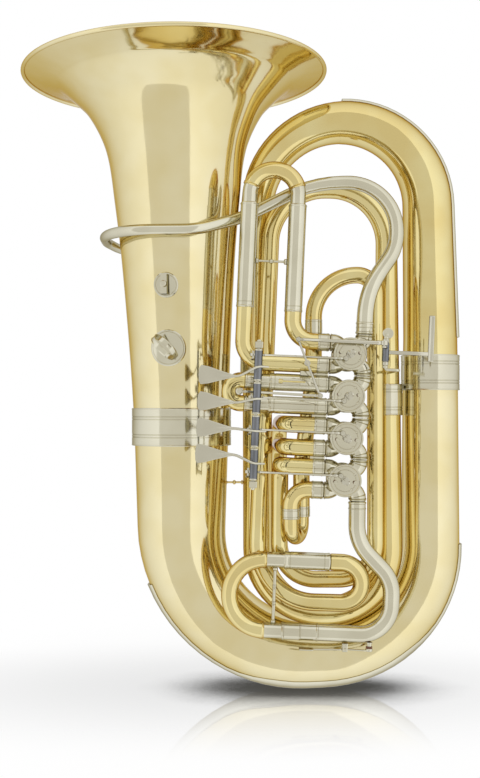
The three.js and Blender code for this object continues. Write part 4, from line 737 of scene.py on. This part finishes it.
# Third slide: both of its tubes turn back between the branches, then down behind the horn to a long bow.
# The photograph doesn't show it, so it follows the other slides.
third_x, near_y, far_y, third_foot, third_turn = -85, 168, 206, -236, -316
brass_shape, nickel_shape = bmesh.new(), bmesh.new()
for z, y, bend in ((-2 * pitch + port, far_y, 26), (-2 * pitch - port, near_y, 22)):
    corners = ((start, 0, z), (third_x, 0, z, 20), (third_x, y, z, bend), (third_x, y, third_foot))
    pipe(brass_shape, corners, tube, tube_wall)
    sleeve(nickel_shape, corners)
    sleeve(nickel_shape, corners, (-46, -0.1), ((2, 2, 0.4), (-2, 2.4, 0.5)))
rod(nickel_shape, ((third_x, near_y + 11.5, -222), (third_x, far_y - 11.5, -222)), 2.0)
fit("third_sleeve_bends", brass_shape, drawn_brass, "third_slide_sleeves", section_place)
fit("third_sleeves", nickel_shape, nickel_silver, place=section_place)
half = 18.7
third_bow = ((third_x, near_y, -160), (third_x, near_y, third_turn, half),
             (third_x, far_y, third_turn, half), (third_x, far_y, -160))
fit("third_slide_legs", legs(third_bow, 128), nickel_silver, "third_slide", section_place, "third_tuning")
fit("third_slide_bow", pipe(bmesh.new(), third_bow, 11.6, 1.6, span=(128, -128), beads=bow_beads),
    drawn_brass, place=section_place, body="third_tuning")

# Fourth slide and its loop: a short drop at the front, a small U that pulls out downwards, and the long
# way round behind the valves in one brass tube.
section_in_horn = horn_place.inverted() @ section_place
fourth_z, drop_x, elbow_x, slide_mouth = -3 * pitch, -73, -88, 258
drop_turn = section_in_horn @ Vector((drop_x, 0, fourth_z - port))
drop_foot = section_in_horn.inverted() @ Vector((drop_turn.x, drop_turn.y, slide_mouth))
drop_line = ((start, 0, fourth_z - port), (drop_x, 0, fourth_z - port, 24), tuple(drop_foot))
fit("fourth_drop", pipe(bmesh.new(), drop_line, tube, tube_wall), drawn_brass, "fourth_slide_sleeve",
    section_place)
nickel_shape = bmesh.new()
sleeve(nickel_shape, drop_line)
sleeve(nickel_shape, drop_line, (-15, -0.1), cut_lines)
fit("fourth_drop_sleeves", nickel_shape, nickel_silver, place=section_place)
elbow = section_in_horn @ Vector((elbow_x, 0, fourth_z + port))
loop_start = section_in_horn @ Vector((start, 0, fourth_z + port))
loop_y, loop_right, loop_down, loop_foot, loop_low, loop_top = -61, 194, 105.5, 88, 168, 604
loop_line = (tuple(loop_start), (*elbow, 18), (elbow.x, loop_y, elbow.z, 18), (56, loop_y, loop_low, 52),
             (loop_right, loop_y, loop_low, 52), (loop_right, loop_y, loop_top, 26),
             (loop_down, loop_y, loop_top, 61), (loop_down, loop_y, 460, 60), (loop_foot, loop_y, 330, 60),
             (loop_foot, loop_y, slide_mouth))
fit("fourth_loop_tube", pipe(bmesh.new(), loop_line, tube, tube_wall), drawn_brass, "fourth_loop")
nickel_shape = bmesh.new()
sleeve(nickel_shape, loop_line)
for span in ((-283, -261), (-15, -0.1)):
    sleeve(nickel_shape, loop_line, span, cut_lines)
fit("fourth_loop_ferrules", nickel_shape, nickel_silver)
half = math.hypot(loop_foot - drop_turn.x, loop_y - drop_turn.y) / 2 - 0.3
low = 251 - half
fourth_bow = ((drop_turn.x, drop_turn.y, 270), (drop_turn.x, drop_turn.y, low, half),
              (loop_foot, loop_y, low, half), (loop_foot, loop_y, 294))
fit("fourth_slide_bow", pipe(bmesh.new(), fourth_bow, slide, slide_wall), drawn_brass, "fourth_slide",
    body="fourth_tuning")

# Outlet tube: nickel silver, from the last valve in an S round to the lower leg of the main tuning slide.
# A short nipple under it lets the water out.
tuning_top, tuning_low = -291, -390
outlet_line = ((20.5, 0, fourth_z - 29.55), (22.5, 0, -262, 60), (74, 0, -312, 50),
               (74, 0, tuning_low, 42), (-78, 0, tuning_low))
outlet_shape = pipe(bmesh.new(), outlet_line, tube, tube_wall,
                    beads=((2, 3, 0.8), (10, 2, 0.6), (-2, 3, 0.8), (-26, 2, 0.7), (-50, 3, 0.8)))
nipple = [(2.0, -406.1), (3.4, -406.1), (3.4, -404.4), (3.8, -402.4), (4.6, -400.6), (2.0, -400.6)]
lathe(outlet_shape, nipple, moved(46, 0, 0), 24)
fit("outlet_bend", outlet_shape, nickel_silver, "outlet_tube", section_place)

# Stays and stop screw: short soldered bars of nickel silver keep the neighbouring tubes apart, and a
# brass screw in a block over the second slide sets how far the trigger lets it close.
stay_shape = bmesh.new()
for i in range(3):
    block(stay_shape, (21, 6, 3.6), moved(-38, 0, -pitch * (i + 0.5)), 0.5)
for z in (-port - 12.9, -pitch + port - 1):
    block(stay_shape, (15, 7, 6.5), moved(-60, -9.5, z), 0.8)
fit("tube_stays", stay_shape, nickel_silver, place=section_place)
fit("bell_stay", rod(bmesh.new(), ((-23.5, -4, 303.5), (7, -4, 303.5)), 1.5,
                     ((15, 4.6, 1.7), (3, 3, 1.8), (-4, 3, 1.8))), drawn_brass)
screw = [(0, -97), (2.7, -97), (3.1, -96.4), (3.1, -92), (2.7, -91.4), (1.3, -91.2), (1.3, -60), (0, -60)]
stop_place = moved(0, -12.4, -pitch + port + 1) @ turned(90, "Y")
fit("stop_screw", lathe(bmesh.new(), screw, stop_place, 28), drawn_brass, place=section_place)

# Main tuning slide: a brass bow that pulls out to the left, with a nickel silver sleeve above and one
# turned stay between its legs.
sleeve_shape = bmesh.new()
sleeve(sleeve_shape, ((-13.9, 0, tuning_top), (-78, 0, tuning_top)), None,
       ((2, 3, 0.4), (8, 1.4, -0.4), (-2, 3, 0.4), (-8, 1.4, -0.4)))
fit("tuning_sleeve", sleeve_shape, nickel_silver, "tuning_slide_sleeve", section_place)
half = 49.2
tuning_line = ((-26, 0, tuning_top), (-152.5, 0, tuning_top, half), (-152.5, 0, tuning_low, half),
               (-26, 0, tuning_low))
fit("tuning_bow", pipe(bmesh.new(), tuning_line, 11.7, 1.7, span=(76, -76), beads=bow_beads),
    drawn_brass, "tuning_slide", section_place, "main_tuning")
leg_shape = bmesh.new()
for span in ((0, 79), (-79, -0.1)):
    pipe(leg_shape, tuning_line, slide, slide_wall, span=span)
pipe(leg_shape, ((-90, 0, tuning_low + 10), (-90, 0, tuning_top - 10)), 2.5, 0, 24,
     beads=((3, 5, 1.4), (-3, 5, 1.4), (26, 2, 0.9), (30, 2, 0.9), (-26, 2, 0.9), (-30, 2, 0.9)))
fit("tuning_legs", leg_shape, nickel_silver, place=section_place, body="main_tuning")

# Leadpipe: a long taper of nickel silver from the receiver behind the bell, round its left side, across
# the front and down to the first valve.
hoop_x, hoop = -92.266, 104.02
lead_y, lead_pass, lead_crest, lead_right = -70.3, 662, 734.2, 221.2


def round_bell(degrees, z):
    """A point on the hoop round the bell."""
    turn = math.radians(degrees)
    return hoop_x + hoop * math.cos(turn), hoop * math.sin(turn), z


lead_end, lead_rise = (section_in_horn @ Vector((20.5, 0, z)) for z in (29.55, 90))
lead_line = (
    round_bell(118, lead_pass - 8), (*round_bell(150, lead_pass - 6), hoop * 0.9),
    (hoop_x - hoop * 1.02, 0, lead_pass - 2, hoop * 0.5),
    (hoop_x - hoop * 0.98, -hoop * 0.99, lead_pass, hoop * 0.75),
    (hoop_x + hoop * 0.3, -hoop * 1.04, lead_pass, hoop * 0.6),
    (6, lead_y, 685.5, 90), (103.4, lead_y, lead_crest, 172), (lead_right, lead_y - 6.7, lead_crest, 69),
    (lead_right, lead_y - 12.7, 640, 68), (*lead_rise, 112), tuple(lead_end))
lead_taper = ((0, 6.6), (0.6, 9.1), (0.8, 10.6), (1, 12))
fit("leadpipe_tube", pipe(bmesh.new(), lead_line, lead_taper, 0.9,
                          beads=((-2, 3, 0.8), (-9, 1.4, 0.5), (-15, 3, 0.8))), nickel_silver, "leadpipe")

# Mouthpiece receiver: a thicker turned socket on the leadpipe's first end, with a rounded collar.
# It opens backwards, and its bore tapers for the mouthpiece.
lead_points = bent(lead_line)
along = Vector((0, 0, 1)).rotation_difference((lead_points[0] - lead_points[1]).normalized())
receiver = [(5.7, 0.3), (9.2, 0.3), (9.2, 2), (8.3, 4), (8.5, 30), (9.2, 48), (9.9, 53), (10.2, 56),
            (10.2, 60.6), (9.4, 62), (7.6, 62), (7.0, 61), (6.4, 34)]
receiver_place = Matrix.Translation(lead_points[0]) @ along.to_matrix().to_4x4()
fit("receiver_socket", lathe(bmesh.new(), receiver, receiver_place, 40), nickel_silver,
    "mouthpiece_receiver")

# Slide trigger: a thumb lever on its own axle at the right, forged and turned in steel. Its crank draws a
# rod, the rod swings a rocker, and the rocker's push rod moves the second slide. Every joint is a pin in a
# socket.
link_y, crank_reach, crank_swing, trigger_x = -46.53, 22, -13.5, 48
trigger_y = link_y + crank_reach * math.cos(math.radians(crank_swing))
trigger_place = section_place @ moved(trigger_x, trigger_y, 4.33)
trigger_shape = bmesh.new()
block(trigger_shape, (8, 4.6, 64), moved(62, 0, 21.1), 1.2)
front = min(trigger_shape.faces, key=lambda face: face.calc_center_median().y)
bmesh.ops.inset_individual(trigger_shape, faces=[front], thickness=1.3, depth=-0.5)
block(trigger_shape, (56, 3.4, 5.4), moved(32, 0, 0), 1.0)
half_barrel = [(3.4, 13.2), (4.4, 13.6), (4.4, 17.6), (4.1, 18), (2.5, 18)]
lathe(trigger_shape, [(r, -h) for r, h in half_barrel[::-1]] + half_barrel, steps=32)
swing = turned(crank_swing, "Z")
block(trigger_shape, (5.6, crank_reach, 2.4), swing @ moved(0, -crank_reach / 2, 5.7), 0.5)
crank_pin = [(0, 4.5), (2.9, 4.5), (3.2, 4.8), (3.2, 6.6), (2.9, 6.9), (1.6, 6.9), (1.6, 16.3),
             (1.2, 16.7), (0, 16.7)]
lathe(trigger_shape, crank_pin, swing @ moved(0, -crank_reach, 0), 24)
fit("thumb_lever", trigger_shape, bright_steel, "trigger_lever", trigger_place, "trigger")
fit("thumb_spring_barrel", lathe(bmesh.new(), soft_ring(3.5, 4.8, -12.8, 12.8, 0.3, 0.4), steps=32),
    blued_spring, place=trigger_place, body="trigger")

foot_x, foot_z = 67.2, -19.7
bracket_shape = rod(bmesh.new(), (
    (trigger_x, trigger_y, 25.3), (trigger_x, trigger_y, foot_z, 4), (foot_x, trigger_y, foot_z, 4),
    (foot_x, 60.7, foot_z)), 2.1)
for low, high in ((22.6, 25.3), (-17.6, -14.2)):
    lathe(bracket_shape, soft_ring(0, 3.8, low, high, 0.4, 0.4), moved(trigger_x, trigger_y, 0), 28)
drum(bracket_shape, 7.6, trigger_y + 1.2, trigger_y + 3.4, 50.5, 30.5, 0.6)
drum(bracket_shape, 3.0, trigger_y - 1.6, trigger_y + 2.4, 49, 25.6, 0.6, 24)
block(bracket_shape, (4.2, 2.2, 9), moved(49, trigger_y + 1.4, 26))
fit("trigger_axle_and_bracket", bracket_shape, nickel_silver, "trigger_bracket", section_place)

rocker_ends = ((-13.75, 31.53), (19.19, -44.0))
rocker_shape = rod(bmesh.new(), [(x, -41.6, z) for x, z in rocker_ends], ((0, 1.6), (0.42, 2.4), (1, 1.7)))
drum(rocker_shape, 4.2, -43.0, -40.4, soft=0.6, steps=28)
for x, z in rocker_ends:
    drum(rocker_shape, 3.2, -42.9, -40.4, x, z, 0.6, 24)
    drum(rocker_shape, 1.6, -50.4, -42.6, x, z, 0.3, 20)
    drum(rocker_shape, 2.4, -50.9, -50.1, x, z, 0.3, 20)
fit("rocker_arm", rocker_shape, bright_steel, "trigger_rocker", section_place @ moved(-60, 0, -port),
    "rocker")

for name, node, body, x, z, reach, rise, far_turn, thick in (
    ("trigger_pull_rod", "trigger_rod", "trigger_link", -73.75, 15.53, 116.6, 0, Matrix.Identity(4),
     ((0, 1.7), (0.08, 2.2), (1, 2.8))),
    ("push_rod", "slide_push_rod", "push_link", -40.81, -60.0, -110.19, 1.7, facing, ((0, 1.8), (1, 1.6))),
):
    link_shape = lathe(bmesh.new(), soft_ring(1.9, 3.5, -3.3, 3.3, 0.5, 0.7), facing, 28)
    lathe(link_shape, soft_ring(3.0, 5.0, -3.2, 3.2, 0.4, 0.5), moved(reach, 0, rise) @ far_turn, 32)
    side = math.copysign(1, reach)
    rod(link_shape, ((2.8 * side, 0, 0), (reach - 4.2 * side, 0, rise)), thick, ((4, 3, 0.5), (-4, 4, 0.6)))
    fit(name, link_shape, bright_steel, node, section_place @ moved(x, link_y, z), body)

# Water key: a sprung lever on a pinned saddle under the outlet tube. Its cork closes the nipple, and the
# plate at its other end is for a finger. Nickel silver, with a pressed cork.
key_place = section_place @ moved(12, 0, -412)
saddle_shape = bmesh.new()
block(saddle_shape, (8.4, 10.8, 1.8), moved(0, 0, 7.8), 0.5)
for side in (1, -1):
    block(saddle_shape, (7.6, 1.8, 11.2), moved(0, side * 4.5, 2.6), 0.7)
drum(saddle_shape, 1.5, -6.0, 5.6, steps=20)
drum(saddle_shape, 2.3, -6.7, -5.3, steps=24)
fit("drain_saddle", saddle_shape, nickel_silver, "water_key_saddle", key_place)
key_shape, cork_x = bmesh.new(), 34
drum(key_shape, 3.4, -3, 3, steps=28)
for foot_z, end_x, end_z in ((0, 33, -0.8), (-0.6, -46, -2.2)):
    lean = Matrix.Rotation(-math.atan((end_z - foot_z) / end_x), 4, "Y")
    block(key_shape, (abs(end_x), 4.2, 2.0), moved(end_x / 2, 0, (foot_z + end_z) / 2) @ lean, 0.7)
cup = [(0, -1.7), (4.0, -1.7), (5.0, -0.9), (5.2, 1.6), (4.7, 2.4), (0, 2.4)]
lathe(key_shape, cup, moved(cork_x, 0, 0), 36)
block(key_shape, (20, 14, 2.0), moved(-54, 0, -2.2), 0.9)
fit("drain_lever", key_shape, nickel_silver, "water_key", key_place, "drain_key")
pad = [(0, 2.2), (4.5, 2.2), (4.6, 5.0), (4.2, 5.6), (0, 5.6)]
fit("drain_cork", lathe(bmesh.new(), pad, moved(cork_x, 0, 0), 32), cork, place=key_place,
    body="drain_key")

# Bell fittings: two round plates of nickel silver, formed to the bell and soldered to it. The upper one
# has a square socket with a screw for the music holder, the lower one a wide ring for the thumb or a strap.
plate_turn, plate_lift, plate_back, plate_steps = math.radians(-10), 2.9, 1.1, 6
lyre_z, ring_z = 588, 499


def on_bell(z, turn, lift=0.0):
    """A point over the bell's outside at a height and a turn round its axis, and its distance from it."""
    height = (z - bell_base) / math.cos(bell_lean)
    below = max(i for i, (_, h) in enumerate(outside) if h <= height)
    (r0, h0), (r1, h1) = outside[below], outside[below + 1]
    radius = r0 + (r1 - r0) * (height - h0) / (h1 - h0) + lift
    return Vector((bell_x - math.tan(bell_lean) * (z - bell_base) + radius * math.sin(turn),
                   -radius * math.cos(turn), z)), radius


for name, node, z, radius in (("lyre_plate", "lyre_holder", lyre_z, 18),
                              ("ring_plate", "strap_ring", ring_z, 26)):
    rim = radius - 1.1
    face = [(rim * k / plate_steps, plate_lift) for k in range(plate_steps)] + [
        (rim - 2.4, plate_lift), (rim - 2.0, plate_lift - 0.35), (rim - 1.6, plate_lift),
        (rim, plate_lift), (radius, plate_lift - 0.9)]
    back = [(radius * k / plate_steps, plate_back) for k in range(plate_steps, -1, -1)]
    plate_shape = lathe(bmesh.new(), face + back, facing, 72)
    for vert in plate_shape.verts:
        across, out, rise = vert.co.x, -vert.co.y, vert.co.z
        arc = on_bell(z + rise, 0, out)[1]
        vert.co = on_bell(z + rise, plate_turn + across / arc, out)[0]
    fit(name, plate_shape, nickel_silver, node)

lyre_place, ring_place = (
    horn_place @ Matrix.Translation(on_bell(z, plate_turn, plate_lift)[0])
    @ Matrix.Rotation(plate_turn, 4, "Z") for z in (lyre_z, ring_z))
socket_half, socket_y, socket_long = 4.5, -7.5, 28
socket_shape = bmesh.new()
bottom = socket_shape.faces.new([
    socket_shape.verts.new((x * socket_half, y * socket_half + socket_y, -socket_long / 2))
    for x, y in ((-1, -1), (1, -1), (1, 1), (-1, 1))])
bmesh.ops.inset_individual(socket_shape, faces=[bottom], thickness=1.4, depth=0)
walls = [f for f in socket_shape.faces if f is not bottom]
bmesh.ops.delete(socket_shape, geom=[bottom], context="FACES_ONLY")
grown = bmesh.ops.extrude_face_region(socket_shape, geom=walls)["geom"]
bmesh.ops.translate(socket_shape, vec=(0, 0, socket_long),
                    verts=[g for g in grown if isinstance(g, bmesh.types.BMVert)])
drum(socket_shape, 2.4, -13.4, -11.4, soft=0.2, steps=24)
drum(socket_shape, 4.5, -16.4, -13.0, soft=0.8, steps=24)
drum(socket_shape, 3.4, -3.6, 0.6, soft=0.3, steps=24)
fit("lyre_socket", socket_shape, nickel_silver, place=lyre_place)

half_ring = [(20.7, 2.4), (21.0, 2.8), (21.4, 3.4), (21.0, 4), (19.4, 4), (19.0, 3.6)]
ring_shape = lathe(bmesh.new(), [(r, -h) for r, h in half_ring[::-1]] + half_ring, steps=72)
block(ring_shape, (7, 5, 7), moved(0, 20.6, 0), 1.2)
fit("thumb_ring", ring_shape, nickel_silver,
    place=ring_place @ moved(0, -20.2, 0) @ turned(48, "Y") @ turned(9, "X"))
